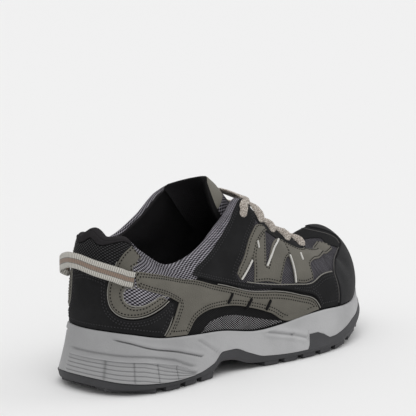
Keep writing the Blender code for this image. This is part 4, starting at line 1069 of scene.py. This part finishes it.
# Shares along the tongue, from under the vamp to its free top, and across it from the middle
PANEL_FROM = 0.74
TOP_CLOSES, TOP_ROUNDS = 0.955, 0.94
PUFF_AT, PUFF_SPAN = 0.88, 0.09
SEAM_AT, SEAM_HALF = 0.93, 0.025
BOUND_SIDE, BOUND_TOP = 0.94, 0.985


def along_rows(rows, count):
    """Rows filled in smoothly between the given ones."""
    found = []
    last = len(rows) - 1
    for u in np.linspace(0, last, count):
        i = min(int(u), last - 1)
        found.append(bend(rows[max(i - 1, 0)], rows[i], rows[i + 1], rows[min(i + 2, last)], u - i))
    return np.array(found)


def face_out(piece, merge=0.0):
    """Turns the faces outwards, after joining points that lie closer than merge."""
    turned = bmesh.new()
    turned.from_mesh(piece.data)
    if merge:
        bmesh.ops.remove_doubles(turned, verts=turned.verts, dist=merge)
        bmesh.ops.dissolve_degenerate(turned, edges=turned.edges, dist=0.1 * merge)
    bmesh.ops.recalc_face_normals(turned, faces=turned.faces)
    turned.to_mesh(piece.data)
    turned.free()


def make_tongue():
    rows = along_rows(TONGUE_ROWS, TONGUE_FINE)
    shares = np.linspace(-1, 1, TONGUE_STEPS + 1)
    points, uv, kinds = [], [], []
    far = 0.0
    for i, (x, z, half, fall, tilt, wrap) in enumerate(rows):
        u = i / (TONGUE_FINE - 1)
        middle = np.array([x * LENGTH, 0.0, z * INSTEP_HEIGHT])
        far += np.linalg.norm(middle - before) if i else 0.0
        before = middle
        half, fall, tilt = (value * BALL_WIDTH for value in (half, fall, tilt))
        turn = math.radians(wrap)
        back_way = np.array([-math.sin(turn), 0.0, -math.cos(turn)])
        near_end = max(0.0, (u - TOP_CLOSES) / (1 - TOP_CLOSES))
        closing = math.sqrt(max(0.0, 1 - near_end**2))
        low_puff = math.exp(-(((u - PUFF_AT) / PUFF_SPAN) ** 2))
        near_top = min(1.0, max(0.0, (u - TOP_ROUNDS) / (1 - TOP_ROUNDS)))
        narrow = 1 - TONGUE_CORNER / half * (1 - math.sqrt(1 - near_top**2))
        front, back = [], []
        for s in shares * narrow:
            drop = fall * abs(s) ** BALL_CURVE
            slope = math.copysign(BALL_CURVE * fall * abs(s) ** (BALL_CURVE - 1), s)
            face = middle + np.array([0.0, half * s, -0.5 * tilt * s]) + back_way * drop
            out = np.array([0.0, slope, 0.0]) - back_way * half
            out /= np.linalg.norm(out)
            edge = TONGUE_PAD * 0.35 * abs(s) ** 8
            deep = TONGUE_PAD * max(0.3, 1 - s**6)
            mid = face - out * (edge + 0.5 * deep)
            seam_dip = 0.45 * math.exp(-(((abs(s) - SEAM_AT) / SEAM_HALF) ** 2))
            puff = 0.5 * low_puff * (1 - s * s) - seam_dip
            front.append(mid + out * (0.5 * deep * closing + puff * closing))
            back.append(mid - out * (0.5 * deep * closing + 0.3 * low_puff))
            uv.append((far, half * s))
        points += front + back[::-1]
        uv += [(far, half * s + 200) for s in shares[::-1] * narrow]
    per = 2 * len(shares)
    faces = bands(TONGUE_FINE, per)
    for i in range(TONGUE_FINE - 1):
        u = i / (TONGUE_FINE - 1)
        for k in range(per):
            on_front = k < TONGUE_STEPS
            at_side = k in (TONGUE_STEPS, per - 1) or (on_front and abs(shares[k]) > BOUND_SIDE)
            bound = at_side or u > BOUND_TOP
            kinds.append(1 if bound else 2 if not on_front else 0 if u > PANEL_FROM else 3)
    for base in (0, (TONGUE_FINE - 1) * per):
        for k in range(TONGUE_STEPS):
            faces.append((base + k, base + k + 1, base + per - 2 - k, base + per - 1 - k))
            kinds.append(2 if base == 0 else 1)
    piece = finish_piece(
        "tongue_pad", points, faces, [TAUPE, BINDING, LINING, TONGUE_MESH],
        ["tongue"], uv, kinds, 60,
    )
    face_out(piece)


BINDING = lining_look("dark binding", tone(30, 29, 30), 0.00015)
TONGUE_MESH = net_look("tongue mesh", tone(176, 172, 182), tone(20, 19, 22), 2.4, 1.6, 0.5, 0.18, 0.0005)
make_tongue()

# Insole.
# A foam board, cupped a little at its edge and covered in black cloth. It lies loose on the
# midsole inside the upper, and shows only through the collar.
INSOLE_PITCH = 4.0
INSOLE_THICKNESS = 4.0
INSOLE_CUP = 3.0
INSOLE_COURSES = [(0.0, 0.0), (0.03, 1.0), (0.10, 0.96), (0.2, 0.7), (0.35, 0.35), (0.55, 0.1)]
INSOLE_COURSES += [(0.8, 0.0), (1.0, 0.0)]


def make_insole():
    q = even_ring(INSOLE_PITCH)
    count = len(q)
    foot = sections_at(q)[:, :3]
    edge = foot - foot_outward(q) * (WALL + GAP)
    middle = 0.5 * (edge + edge[(count - np.arange(count)) % count])
    floor = foot_bed(foot[:, 0])
    under = middle.copy()
    under[:, 2] = floor + GAP
    layers = [under]
    for share, cup in INSOLE_COURSES:
        p = edge * (1 - share) + middle * share
        rise = GAP + (INSOLE_THICKNESS + INSOLE_CUP * cup if share else 0.0)
        p[:, 2] = floor + rise
        layers.append(p)
    points = np.concatenate(layers)
    piece = finish_piece(
        "insole_board", points, bands(len(layers), count), [INSOLE_CLOTH],
        ["insole"], points[:, :2],
    )
    face_out(piece, 1e-5)


INSOLE_CLOTH = lining_look("insole cloth", tone(28, 28, 30))
make_insole()

# Pull loop.
# Woven webbing 11 mm wide, cream with a tan middle, its ends caught in the heel ring's seams so
# that it stands off the back of the collar.
WEB_CLEARANCE = 1.3
WEB_WIDTH = 11.0
WEB_THICKNESS = 1.6
PULL_LOOP = [
    (0.045, -0.37, 0.745), (0.014, -0.22, 0.785), (0.000, -0.08, 0.815), (-0.003, 0.00, 0.820),
    (0.000, 0.08, 0.815), (0.014, 0.22, 0.785), (0.045, 0.37, 0.745),
]
LOOP_ENDS = [(2.12, 0.57), (1.85, 0.575)]


def curve_through(knots, steps):
    knots = np.array(knots, float)
    padded = np.vstack([2 * knots[0] - knots[1], knots, 2 * knots[-1] - knots[-2]])
    found = []
    for i in range(len(knots) - 1):
        found += [bend(*padded[i:i + 4], t) for t in np.arange(steps) / steps]
    return np.array(found + [knots[-1]])


def strip_shape(width, thickness, puff, across):
    """A flat strip's cross section, from edge to edge over and back under: side, height."""
    over, under = [], []
    for s in np.linspace(-1, 1, across):
        half = thickness / 2 * (1 - s**8) ** 0.5
        over.append((s * width / 2, half + puff * (1 - s * s)))
        under.append((s * width / 2, -half - puff * 0.4 * (1 - s * s)))
    return over + under[-2:0:-1]


def strip(path, normals, shapes):
    """A strip through path; shapes holds one cross section for each point, all of equal count."""
    run = np.gradient(path, axis=0)
    run /= np.linalg.norm(run, axis=1, keepdims=True)
    side = np.cross(run, normals)
    side /= np.linalg.norm(side, axis=1, keepdims=True)
    up = np.cross(side, run)
    far = np.concatenate([[0.0], np.cumsum(np.linalg.norm(np.diff(path, axis=0), axis=1))])
    points, uv = [], []
    for k, shape in enumerate(shapes):
        for a, b in shape:
            points.append(path[k] + side[k] * a + up[k] * b)
            uv.append((far[k], a))
    per = len(shapes[0])
    faces = bands(len(path), per)
    faces.append(tuple(reversed(range(per))))
    faces.append(tuple((len(path) - 1) * per + j for j in range(per)))
    return points, faces, uv


# Millimetres from the webbing's middle: the tan band's side, its dark line and the outer edge
TAN_SIDE, TAN_LINE, WEB_EDGE = (1.25, 1.45), 1.62, (4.9, 5.3)


def webbing_look():
    look = Look("cream webbing", 0.8, Sheen_Weight=0.15)
    along, across = look.split(look.flat())
    side = look.math("ABSOLUTE", across)
    middle = look.ramp(side, *TAN_SIDE, 1.0, 0.0)
    line = look.math("ABSOLUTE", look.math("SUBTRACT", side, TAN_LINE))
    edge = look.ramp(side, *WEB_EDGE)
    ribs = look.math("SINE", look.math("MULTIPLY", along, 4.4))
    cross = look.math("SINE", look.math("MULTIPLY", across, 9.0))
    weave = look.math("ADD", look.math("MULTIPLY", ribs, 0.5), look.math("MULTIPLY", cross, 0.5))
    shade = look.mix(middle, tone(205, 202, 194), tone(148, 126, 110))
    shade = look.mix(look.ramp(line, 0.12, 0.3, 1.0, 0.0), shade, tone(92, 88, 82))
    shade = look.mix(look.math("MULTIPLY", edge, 0.4), shade, tone(120, 116, 110))
    shade = look.mix(look.ramp(ribs, -0.8, 0.4, 0.55, 0.0), shade, tone(92, 88, 84))
    return look.wear(Base_Color=shade, Normal=look.bump(weave, 0.0002))


WEBBING = webbing_look()


def stand_off(spots, lift):
    q, v = np.array(spots).T
    return wall_face(q, v) + wall_outward(q, v) * lift


def make_pull_loop():
    lift = OVERLAY + GAP + WEB_CLEARANCE + WEB_THICKNESS / 2
    free = [(x * LENGTH, y * HEEL_WIDTH, z * HEEL_HEIGHT) for x, y, z in PULL_LOOP]
    outer, inner = stand_off(LOOP_ENDS, lift), stand_off(other_side(LOOP_ENDS), lift)
    line = curve_through(list(outer) + free + list(inner[::-1]), 9)
    run = np.gradient(line, axis=0)
    normals = np.stack([-run[:, 1], run[:, 0], np.zeros(len(line))], 1)
    shape = strip_shape(WEB_WIDTH, WEB_THICKNESS, 0.0, 13)
    points, faces, uv = strip(line, normals, [shape] * len(line))
    piece = finish_piece("heel_loop", points, faces, [WEBBING], ["pull_loop"], uv, None, 50)
    face_out(piece)


make_pull_loop()

# Lace.
# Flat puffy polyester lace in beige with pale flecks: one bar and four crosses over the tongue.
# No eyelet is modelled: each run goes into the overlay at an eyelet's place, the last at the top.
LACE_WIDTH = 6.0
LACE_THICKNESS = 2.0
LACE_LIFT = OVERLAY + 2 * GAP
LACE_ARCH = 3.9
LACE_FLATTER = 0.55
EYELETS = [(7.12, 0.935), (7.45, 0.935), (8.00, 0.935), (8.70, 0.935), (9.50, 0.925)]
LACE_ENDS = [(6.62, 0.800), (7.32, 0.712), (7.87, 0.732), (8.50, 0.722), (9.20, 0.716)]


BRAID = 5.2


def lace_look():
    look = Look("beige lace", 0.78, Sheen_Weight=0.2)
    where = look.flat()
    along, across = look.split(where)
    slants = [look.math(way, along, across) for way in ("ADD", "SUBTRACT")]
    one, two = (look.math("SINE", look.math("MULTIPLY", slant, BRAID)) for slant in slants)
    braid = look.math("MAXIMUM", one, two)
    flecks = look.noise(where, 1.1, 2.0, 0.5)
    shade = look.mix(look.ramp(flecks, 0.44, 0.60), tone(164, 150, 137), tone(240, 232, 222))
    shade = look.mix(look.ramp(braid, -0.4, 0.5, 0.35, 0.0), shade, tone(70, 62, 54))
    return look.wear(Base_Color=shade, Normal=look.bump(braid, 0.00035))


LACE = lace_look()


def lifted(spot, lift):
    q, v = np.array([spot[0]]), np.array([spot[1]])
    outward = wall_outward(q, v)[0]
    return wall_face(q, v)[0] + outward * lift, outward


# How high a run lies at its tip, a quarter and half way up, and how far its face turns aside there
LACE_HEIGHTS = (0.6, 2.5, 2.9)
LACE_TURNS = (0.2, 1.2, 1.5, 0.6)
LACE_STEPS = 6


def lace_run(i, j, layer):
    """From one side's eyelet i, up over the throat's edge and across to the other's eyelet j."""
    lift = LACE_LIFT + LACE_THICKNESS / 2 + layer * 0.25
    one, two = EYELETS[i], other_side([EYELETS[j]])[0]
    tip_one, tip_two = LACE_ENDS[i], other_side([LACE_ENDS[j]])[0]
    knots, ways = [], []
    for edge, tip, order in ((one, tip_one, 1), (two, tip_two, -1)):
        low = ((edge[0] + 3 * tip[0]) / 4, (edge[1] + 3 * tip[1]) / 4)
        half = ((edge[0] + tip[0]) / 2, (edge[1] + tip[1]) / 2 + 0.01)
        part = [lifted(*place) for place in zip((tip, low, half, edge), (*LACE_HEIGHTS, lift - 0.2))]
        aside = np.array([-0.75, -0.60 * order, 0.15])
        turned = [n + share * aside for (p, n), share in zip(part, LACE_TURNS)]
        knots.append([p for p, n in part][::order])
        ways.append([n / np.linalg.norm(n) for n in turned][::order])
    a, b = knots[0][-1], knots[1][0]
    up = np.array([0.0, 0.0, max(0.0, LACE_ARCH - LACE_FLATTER * (i + j))])
    near = a + (b - a) * 0.28 + 0.75 * up
    far = b + (a - b) * 0.28 + 0.75 * up
    over = np.cross(b - a, [-1.0, 0.0, 0.72])
    over = (over if over[2] > 0 else -over) / np.linalg.norm(over)
    line = curve_through(knots[0] + [near, 0.5 * (a + b) + up, far] + knots[1], LACE_STEPS)
    normals = curve_through(ways[0] + [over] * 3 + ways[1], LACE_STEPS)
    normals /= np.linalg.norm(normals, axis=1, keepdims=True)
    shapes = []
    for t in np.linspace(0, 1, len(line)):
        wide = 0.6 + 0.4 * float(ease(min(t, 1 - t) / 0.03))
        leaf = 1.0 + 0.07 * math.sin(t * 40 + 2 * i + j)
        shapes.append(strip_shape(LACE_WIDTH * wide * leaf, LACE_THICKNESS * 0.7, 0.4 * wide, 11))
    return strip(line, normals, shapes)


def make_lace():
    pairs = [(4, 4)]
    for i in range(len(EYELETS) - 1):
        pairs += [(i, i + 1), (i + 1, i)]
    points, faces, uv = [], [], []
    for layer, (i, j) in enumerate(pairs):
        p, f, u = lace_run(i, j, layer % 3)
        faces += [tuple(k + len(points) for k in face) for face in f]
        points += p
        uv += u
    piece = finish_piece("laced_cord", points, faces, [LACE], ["lace"], uv, None, 60)
    face_out(piece)


make_lace()

# Midsole.
# One piece of moulded grey foam with a lip round the upper, a cut groove along its rear side and
# a raised heel pad scored into squares.
LIP = 2.2
SOLE_EDGE = 5.0
NOTCH_RISE = 8.0
SOLE_COLUMNS = "x tread rubber joint flare groove pad".split()
SOLE_ROWS = [
    (0.000, 0.210, 0.240, 0.36, 0.105, 0.10, 0.66), (0.035, 0.105, 0.150, 0.29, 0.100, 0.12, 0.55),
    (0.070, 0.035, 0.090, 0.21, 0.090, 0.17, 0.52), (0.110, 0.000, 0.080, 0.17, 0.085, 0.24, 0.50),
    (0.170, 0.000, 0.080, 0.15, 0.080, 0.31, 0.58), (0.240, 0.000, 0.080, 0.16, 0.065, 0.50, 0.86),
    (0.305, 0.000, 0.120, 0.26, 0.050, 0.73, 0.95), (0.337, 0.245, 0.245, 0.41, 0.040, 0.74, 0.95),
    (0.377, 0.220, 0.220, 0.41, 0.033, 0.74, 0.95), (0.425, 0.110, 0.110, 0.29, 0.033, 0.74, 0.95),
    (0.470, 0.000, 0.080, 0.19, 0.040, 0.74, 0.95), (0.580, 0.000, 0.080, 0.15, 0.050, 0.74, 0.95),
    (0.660, 0.000, 0.080, 0.16, 0.055, 0.74, 0.95), (0.725, 0.000, 0.090, 0.19, 0.055, 0.74, 0.95),
    (0.810, 0.130, 0.210, 0.31, 0.050, 0.74, 0.95), (0.880, 0.270, 0.340, 0.42, 0.040, 0.74, 0.95),
    (0.940, 0.400, 0.460, 0.53, 0.028, 0.74, 0.95), (1.000, 0.510, 0.550, 0.61, 0.020, 0.74, 0.95),
]
SOLE_TABLE = {c: [(r[0], r[i]) for r in SOLE_ROWS] for i, c in enumerate(SOLE_COLUMNS)}
NOTCH = [
    (0.606, 0.0), (0.612, 0.35), (0.616, 1.35), (0.647, 1.32), (0.668, 1.00), (0.689, 0.52),
    (0.715, 0.45), (0.734, 0.50), (0.806, 0.58), (0.880, 0.45), (1.000, 0.25),
]
GROOVE_SPAN = (0.058, 0.270)
PAD_SPAN = (0.035, 0.235)
PAD_CROSS = [0.051, 0.083, 0.129, 0.175]
PAD_LINES = (0.10, 0.30, 0.50, 0.70, 0.90)
PAD_SLANT = 3.5
PAD_STEP, PAD_RIM, PAD_TROUGH = 1.8, 1.0, 1.3
PAD_GAP, PAD_GAP_HALF = 28.6, 0.55
SCORE = 0.5


def sole_share(column, x):
    return smooth_value(SOLE_TABLE[column], np.asarray(x) / LENGTH)


def side_point(q, share, out=0.0):
    foot = sections_at(q)[:, :3]
    joint = SIDEWALL_HEIGHT * sole_share("joint", foot[:, 0])
    spread = HEEL_WIDTH * sole_share("flare", foot[:, 0]) * share**1.4
    p = foot + foot_outward(q) * (GAP + LIP + spread + out)[:, None]
    p[:, 2] = foot[:, 2] + (joint - foot[:, 2]) * share
    return p


def notch(x):
    return NOTCH_RISE * np.interp(x / LENGTH, *zip(*NOTCH))


def joint_share(q):
    """Where the rubber starts, as a share of the way down the sole's side."""
    foot = sections_at(q)[:, :3]
    tall = foot[:, 2] - SIDEWALL_HEIGHT * sole_share("joint", foot[:, 0])
    return 1.0 - notch(foot[:, 0]) / tall


def joint_edge(q, drop, out=0.0):
    p = side_point(q, joint_share(q), np.full(len(q), out))
    p[:, 2] -= drop
    return p


def joint_inner(q, drop):
    p = side_point(q, np.ones(len(q))) - foot_outward(q) * SOLE_EDGE
    p[:, 2] -= drop
    return p


def sole_ring(pitch):
    places = even_ring(pitch)
    fine = np.linspace(0, RING / 2, 1201)
    xs = np.maximum.accumulate(sections_at(fine)[:, 0])
    cuts = [mark * LENGTH + side for mark in PAD_CROSS for side in (-1.1, -0.55, 0.0, 0.55, 1.1)]
    marks = np.interp([n[0] * LENGTH for n in NOTCH] + cuts, xs, fine)
    outer = [p for p in places if 0 < p < RING / 2 and np.abs(marks - p).min() > 0.02]
    outer = np.array(sorted(outer + list(marks)))
    return np.concatenate([[0.0], outer, [RING / 2], RING - outer[::-1]])


def hump(far, half):
    """1 on a line and falling softly away from it, by its half width."""
    return np.exp(-((far / half) ** 2))


# Each crease across the foam: from and to, as shares along and down the side, and its depth
CREASES = [
    (0.490, 0.10, 0.560, 0.36, 0.9), (0.560, 0.36, 0.612, 0.62, 0.7),
    (0.268, 0.17, 0.340, 0.66, 0.6),
]
CREASE_TALL = 27


def near_line(x, z, line):
    x0, z0, x1, z1 = line
    run = np.array([x1 - x0, z1 - z0])
    t = np.clip(((x - x0) * run[0] + (z - z0) * run[1]) / (run @ run), 0, 1)
    return np.hypot(x - x0 - t * run[0], z - z0 - t * run[1])


def midsole_relief(q, share, tall):
    """Millimetres out of the foam's plain side, and how deep in a cut each place lies, 0 to 1, kept as
    painted shade for the cuts.
    """
    x = sections_at(q)[:, 0] / LENGTH
    # The cut values are painted shade: they darken the foam's colour in the groove, the pad's score
    # lines and the creases.
    out, cut = np.zeros(len(q)), np.zeros(len(q))
    groove = sole_share("groove", x * LENGTH)
    ends = ease(np.minimum(x - GROOVE_SPAN[0], GROOVE_SPAN[1] - x) / 0.006 + 0.5)
    far = (share - groove) * tall
    out -= 1.3 * hump(far, 0.50) * ends
    cut += hump(far, 0.42) * ends
    out += 0.40 * hump(far + 2.0, 1.5) * ends
    top = sole_share("pad", x * LENGTH)
    turn = np.minimum(np.abs(q - PAD_GAP), np.abs(q - PAD_GAP + RING))
    on_pad = ease((PAD_SPAN[1] - x) / 0.02 + 0.7) * ease((turn - PAD_GAP_HALF) / 0.35)
    into = (share - top) * tall
    rim = PAD_STEP * ease(into + 0.5) + PAD_RIM * hump(into - 0.9, 0.9)
    out += on_pad * (rim - PAD_TROUGH * hump(into + 1.4, 1.1))
    room = np.maximum(0.97 - top, 0.03)
    inside_pad = ease((into - 1.0) / 0.6) * ease((0.985 - share) * tall / 0.5) * on_pad
    slant = PAD_SLANT * np.maximum(x - 0.10, 0.0)
    for line in PAD_LINES:
        far = (share - top - (line + slant) * room) * tall
        out -= SCORE * hump(far, 0.36) * inside_pad
        cut += 0.75 * hump(far, 0.30) * inside_pad
    for mark in PAD_CROSS:
        far = (x - mark) * LENGTH
        out -= SCORE * hump(far, 0.5) * inside_pad
        cut += 0.75 * hump(far, 0.38) * inside_pad
    for x0, s0, x1, s1, depth in CREASES:
        ends = (x0 * LENGTH, s0 * CREASE_TALL, x1 * LENGTH, s1 * CREASE_TALL)
        far = near_line(x * LENGTH, share * tall, ends)
        out += depth * (0.7 * hump(far - 2.2, 1.6) - hump(far, 0.9))
        # Painted shade along the crease.
        cut += 0.22 * hump(far, 0.7)
    return out, np.clip(cut, 0, 1)


SIDE_ROWS = 112


def foam_look():
    look = Look("moulded foam", 0.62)
    where = look.place()
    speck = look.cells(where, 900.0)
    skin_noise = look.noise(where, 700.0, 4.0, 0.6)
    cloud = look.noise(where, 22.0, 3.0)
    shade = look.mix(look.ramp(cloud, 0.3, 0.7), tone(158, 158, 159), tone(175, 175, 176))
    shade = look.mix(look.ramp(speck, 0.0, 0.25, 0.25, 0.0), shade, tone(110, 110, 112))
    # Painted shade: the edge attribute darkens the foam nearly to black in its grooves, score lines and
    # creases.
    cut = look.add("ShaderNodeAttribute", attribute_name="edge", out=2)
    shade = look.mix(look.math("MULTIPLY", cut, 0.85), shade, tone(52, 52, 54))
    # Painted shade: the foam darker towards the heel.
    heel_shade = look.ramp(look.split(where)[0], -0.06, 0.12, 0.42, 0.0)
    shade = look.mix(heel_shade, shade, tone(128, 128, 129))
    first = look.bump(speck, 0.00008)
    rough = look.ramp(skin_noise, 0.3, 0.7, 0.54, 0.7)
    return look.wear(Base_Color=shade, Roughness=rough, Normal=look.bump(skin_noise, 0.00012, first))


FOAM = foam_look()


def ring_faces(count, rows):
    """Bands between rings that run round the sole, with the first and last filled across."""
    faces = bands(rows, count)
    for base in (0, (rows - 1) * count):
        for k in range(count // 2):
            a, b = base + k, base + k + 1
            c, d = base + (count - k - 1) % count, base + (count - k) % count
            faces.append((a, b, c) if a == d else (a, b, d) if b == c else (a, b, c, d))
    return faces


def level_ring(q, out, z):
    p = sections_at(q)[:, :3] + foot_outward(q) * out
    p[:, 2] = z
    return p


INNER_ROUND, OUTER_ROUND = 0.8, 1.0


def make_midsole():
    q = sole_ring(1.9)
    foot = sections_at(q)[:, :3]
    rim = foot[:, 2]
    tall = rim - SIDEWALL_HEIGHT * sole_share("joint", foot[:, 0])
    end = joint_share(q)
    layers = [level_ring(q, GAP, foot_bed(foot[:, 0])), level_ring(q, GAP, rim - 0.5)]
    for a in np.radians((20, 50, 80)):
        z = rim - INNER_ROUND + INNER_ROUND * math.sin(a)
        layers.append(level_ring(q, GAP + INNER_ROUND * (1 - math.cos(a)), z))
    layers.append(level_ring(q, GAP + 0.6 * LIP, rim))
    for a in np.radians((75, 45, 15)):
        z = rim - OUTER_ROUND + OUTER_ROUND * math.sin(a)
        layers.append(level_ring(q, GAP + LIP - OUTER_ROUND + OUTER_ROUND * math.cos(a), z))
    # The cut values, painted shade for the grooves, score lines and creases, go to the foam's edge
    # attribute.
    cuts = [np.zeros(len(q))] * len(layers)
    for share in np.linspace(0.05, 1.0, SIDE_ROWS):
        out, cut = midsole_relief(q, share * end, tall)
        fade = ease((1.0 - share) / 0.02) * ease((share - 0.03) / 0.05)
        layers.append(side_point(q, share * end, out * fade))
        cuts.append(cut * fade)
    cuts += [np.zeros(len(q))] * 2
    layers += [joint_edge(q, 0.0), joint_inner(q, 0.0)]
    piece = finish_piece(
        "foam_midsole", np.concatenate(layers), ring_faces(len(q), len(layers)), [FOAM],
        ["midsole"], None, None, 60, np.concatenate(cuts),
    )
    face_out(piece)


make_midsole()

# Outsole.
# Dark moulded rubber under the foam, with a tab up the side and rows of lugs, each in three
# blocks with chamfered edges.
TREAD_ROWS = [
    (0.052, 0.125), (0.148, 0.188), (0.205, 0.245), (0.262, 0.305), (0.475, 0.515), (0.533, 0.575),
    (0.593, 0.635), (0.653, 0.695), (0.713, 0.757), (0.777, 0.822), (0.842, 0.884), (0.905, 0.945),
]
TREAD_BLOCKS = [(0.004, 0.25), (0.31, 0.5, 0.69), (0.75, 0.996)]
SOLE_RUBBER = rubber_look("sole rubber", tone(70, 70, 72), 0.62, 0.00010)


def rubber_edge(q):
    p = side_point(q, np.ones(len(q)))
    p[:, 2] = SIDEWALL_HEIGHT * sole_share("rubber", sections_at(q)[:, 0])
    return p - foot_outward(q) * 0.8


def under_sole(q, s, column, lift):
    pair = np.array([q, RING - q])
    a, b = rubber_edge(pair)
    xs = sections_at(pair)[:, 0]
    za, zb = SIDEWALL_HEIGHT * sole_share(column, xs)
    p = a * (1 - s) + b * s
    p[2] = za * (1 - s) + zb * s + lift
    return p


# The rubber stands this far out of the foam; each lug's middle is set forward, and its foot is
# drawn in by a shoulder, inwards and up, and by a chamfer
PROUD = 0.45
LUG_FORWARD = 0.013
LUG_SHOULDER, LUG_CHAMFER = (0.2, 0.7), 1.1


def lug_rings(row, block, place_at):
    """One block's corners at its root, its shoulder and its tread."""
    back, front = [], []
    for s in block:
        shift = LUG_FORWARD if s == 0.5 else 0.0
        q0, q1 = place_at([(end + shift) * LENGTH for end in row])
        back.append((q0, s))
        front.append((q1, s))
    outline = back + front[::-1]
    root = np.array([under_sole(a, s, "rubber", 1.0) for a, s in outline])
    foot = np.array([under_sole(a, s, "tread", 0.0) for a, s in outline])
    way = foot.mean(axis=0) - foot
    way[:, 2] = 0
    way /= np.linalg.norm(way, axis=1, keepdims=True)
    shoulder = foot + way * LUG_SHOULDER[0] + np.array([0, 0, LUG_SHOULDER[1]])
    return root, shoulder, foot + way * LUG_CHAMFER


def make_outsole():
    q = sole_ring(2.4)
    low, joint = rubber_edge(q), joint_share(q)
    layers = [joint_inner(q, GAP), joint_edge(q, GAP, -0.6), joint_edge(q, GAP, PROUD)]
    for t in (0.25, 0.5, 0.75, 1.0):
        side = side_point(q, joint + (1 - joint) * t, np.full(len(q), PROUD))
        layers.append(side - np.array([0, 0, 0.6]))
    foot_row = layers[-1]
    layers += [foot_row * (1 - t) + low * t for t in (0.35, 0.7, 0.9)]
    layers += [low - foot_outward(q) * 0.15, low - foot_outward(q) * 0.9]
    faces = ring_faces(len(q), len(layers))
    points = [tuple(p) for layer in layers for p in layer]
    fine = np.linspace(0, RING / 2, 601)
    xs = np.maximum.accumulate(sections_at(fine)[:, 0])
    for row in TREAD_ROWS:
        for block in TREAD_BLOCKS:
            rings = lug_rings(row, block, lambda x: np.interp(x, xs, fine))
            n, base = len(rings[0]), len(points)
            points += [tuple(p) for ring in rings for p in ring]
            for low_k in (base, base + n):
                for i in range(n):
                    m = (i + 1) % n
                    faces.append((low_k + i, low_k + n + i, low_k + n + m, low_k + m))
            faces.append(tuple(base + i for i in range(n)))
            faces.append(tuple(base + 2 * n + i for i in reversed(range(n))))
    piece = finish_piece(
        "rubber_outsole", points, faces, [SOLE_RUBBER], ["outsole"], None, None, 35
    )
    face_out(piece)


make_outsole()

# Studio.
# A pale seamless floor, two wide soft lights and the camera at the photograph's angle.
REACH, FLOOR_DROP = 6.0, 0.0004
corners = [(x * REACH, y * REACH, -FLOOR_DROP) for x, y in ((-1, -1), (1, -1), (1, 1), (-1, 1))]
floor_mesh = bpy.data.meshes.new("floor")
floor_mesh.from_pydata(corners, [], [(0, 1, 2, 3)])
floor = bpy.data.objects.new("floor", floor_mesh)
bpy.context.scene.collection.objects.link(floor)
paper = Look("floor paper", 0.9, Specular_IOR_Level=0.1)
floor_mesh.materials.append(paper.wear(Base_Color=(0.86, 0.86, 0.86, 1.0)))

world = bpy.data.worlds.new("studio")
bpy.context.scene.world = world
world.use_nodes = True
sky = world.node_tree.nodes["Background"]
sky.inputs["Color"].default_value = (1.0, 1.0, 1.0, 1.0)
sky.inputs["Strength"].default_value = 0.62


def lamp(name, come_from, strength, softness):
    """A wide even light from one direction."""
    made = bpy.data.lights.new(name, "SUN")
    made.energy, made.angle = strength, math.radians(softness)
    stand = bpy.data.objects.new(name, made)
    bpy.context.scene.collection.objects.link(stand)
    stand.rotation_euler = Vector(come_from).to_track_quat("Z", "Y").to_euler()


lamp("top light", (-0.25, -0.30, 0.92), 1.20, 50.0)
lamp("toe light", (0.80, -0.35, 0.45), 0.40, 40.0)

# The camera's turn and height, its distance from the aimed point in mm, its focal length in pixels
# of the frame, and the pixel that the aimed point falls on
TURN, RAISE = math.radians(-47.0), math.radians(11.8)
FAR, FOCAL = 1400.0, 1885.0
AIM = np.array([150.0, 0.0, 60.0])
AIM_PIXEL, FRAME = (223.5, 274.0), 416.0
SENSOR = 36.0
level = math.cos(RAISE)
back_way = np.array([math.sin(TURN) * level, -math.cos(TURN) * level, math.sin(RAISE)])
right_way = np.array([math.cos(TURN), math.sin(TURN), 0.0])
up_way = np.cross(back_way, right_way)
eye = AIM + back_way * FAR
aside, above = FRAME / 2 - AIM_PIXEL[0], FRAME / 2 - AIM_PIXEL[1]
middle_ray = -back_way * FOCAL + right_way * aside - up_way * above
camera_data = bpy.data.cameras.new("camera")
camera_data.sensor_width = SENSOR
camera_data.lens = float(np.linalg.norm(middle_ray)) / FRAME * SENSOR
camera_data.clip_end = 50.0
camera = bpy.data.objects.new("camera", camera_data)
bpy.context.scene.collection.objects.link(camera)
z_way = -middle_ray / np.linalg.norm(middle_ray)
x_way = np.cross(up_way, z_way)
x_way /= np.linalg.norm(x_way)
y_way = np.cross(z_way, x_way)
turned = Matrix((x_way.tolist(), y_way.tolist(), z_way.tolist())).transposed().to_4x4()
turned.translation = Vector(to_world(eye).tolist())
camera.matrix_world = turned
bpy.context.scene.camera = camera
bpy.context.scene.view_settings.view_transform = "Standard"
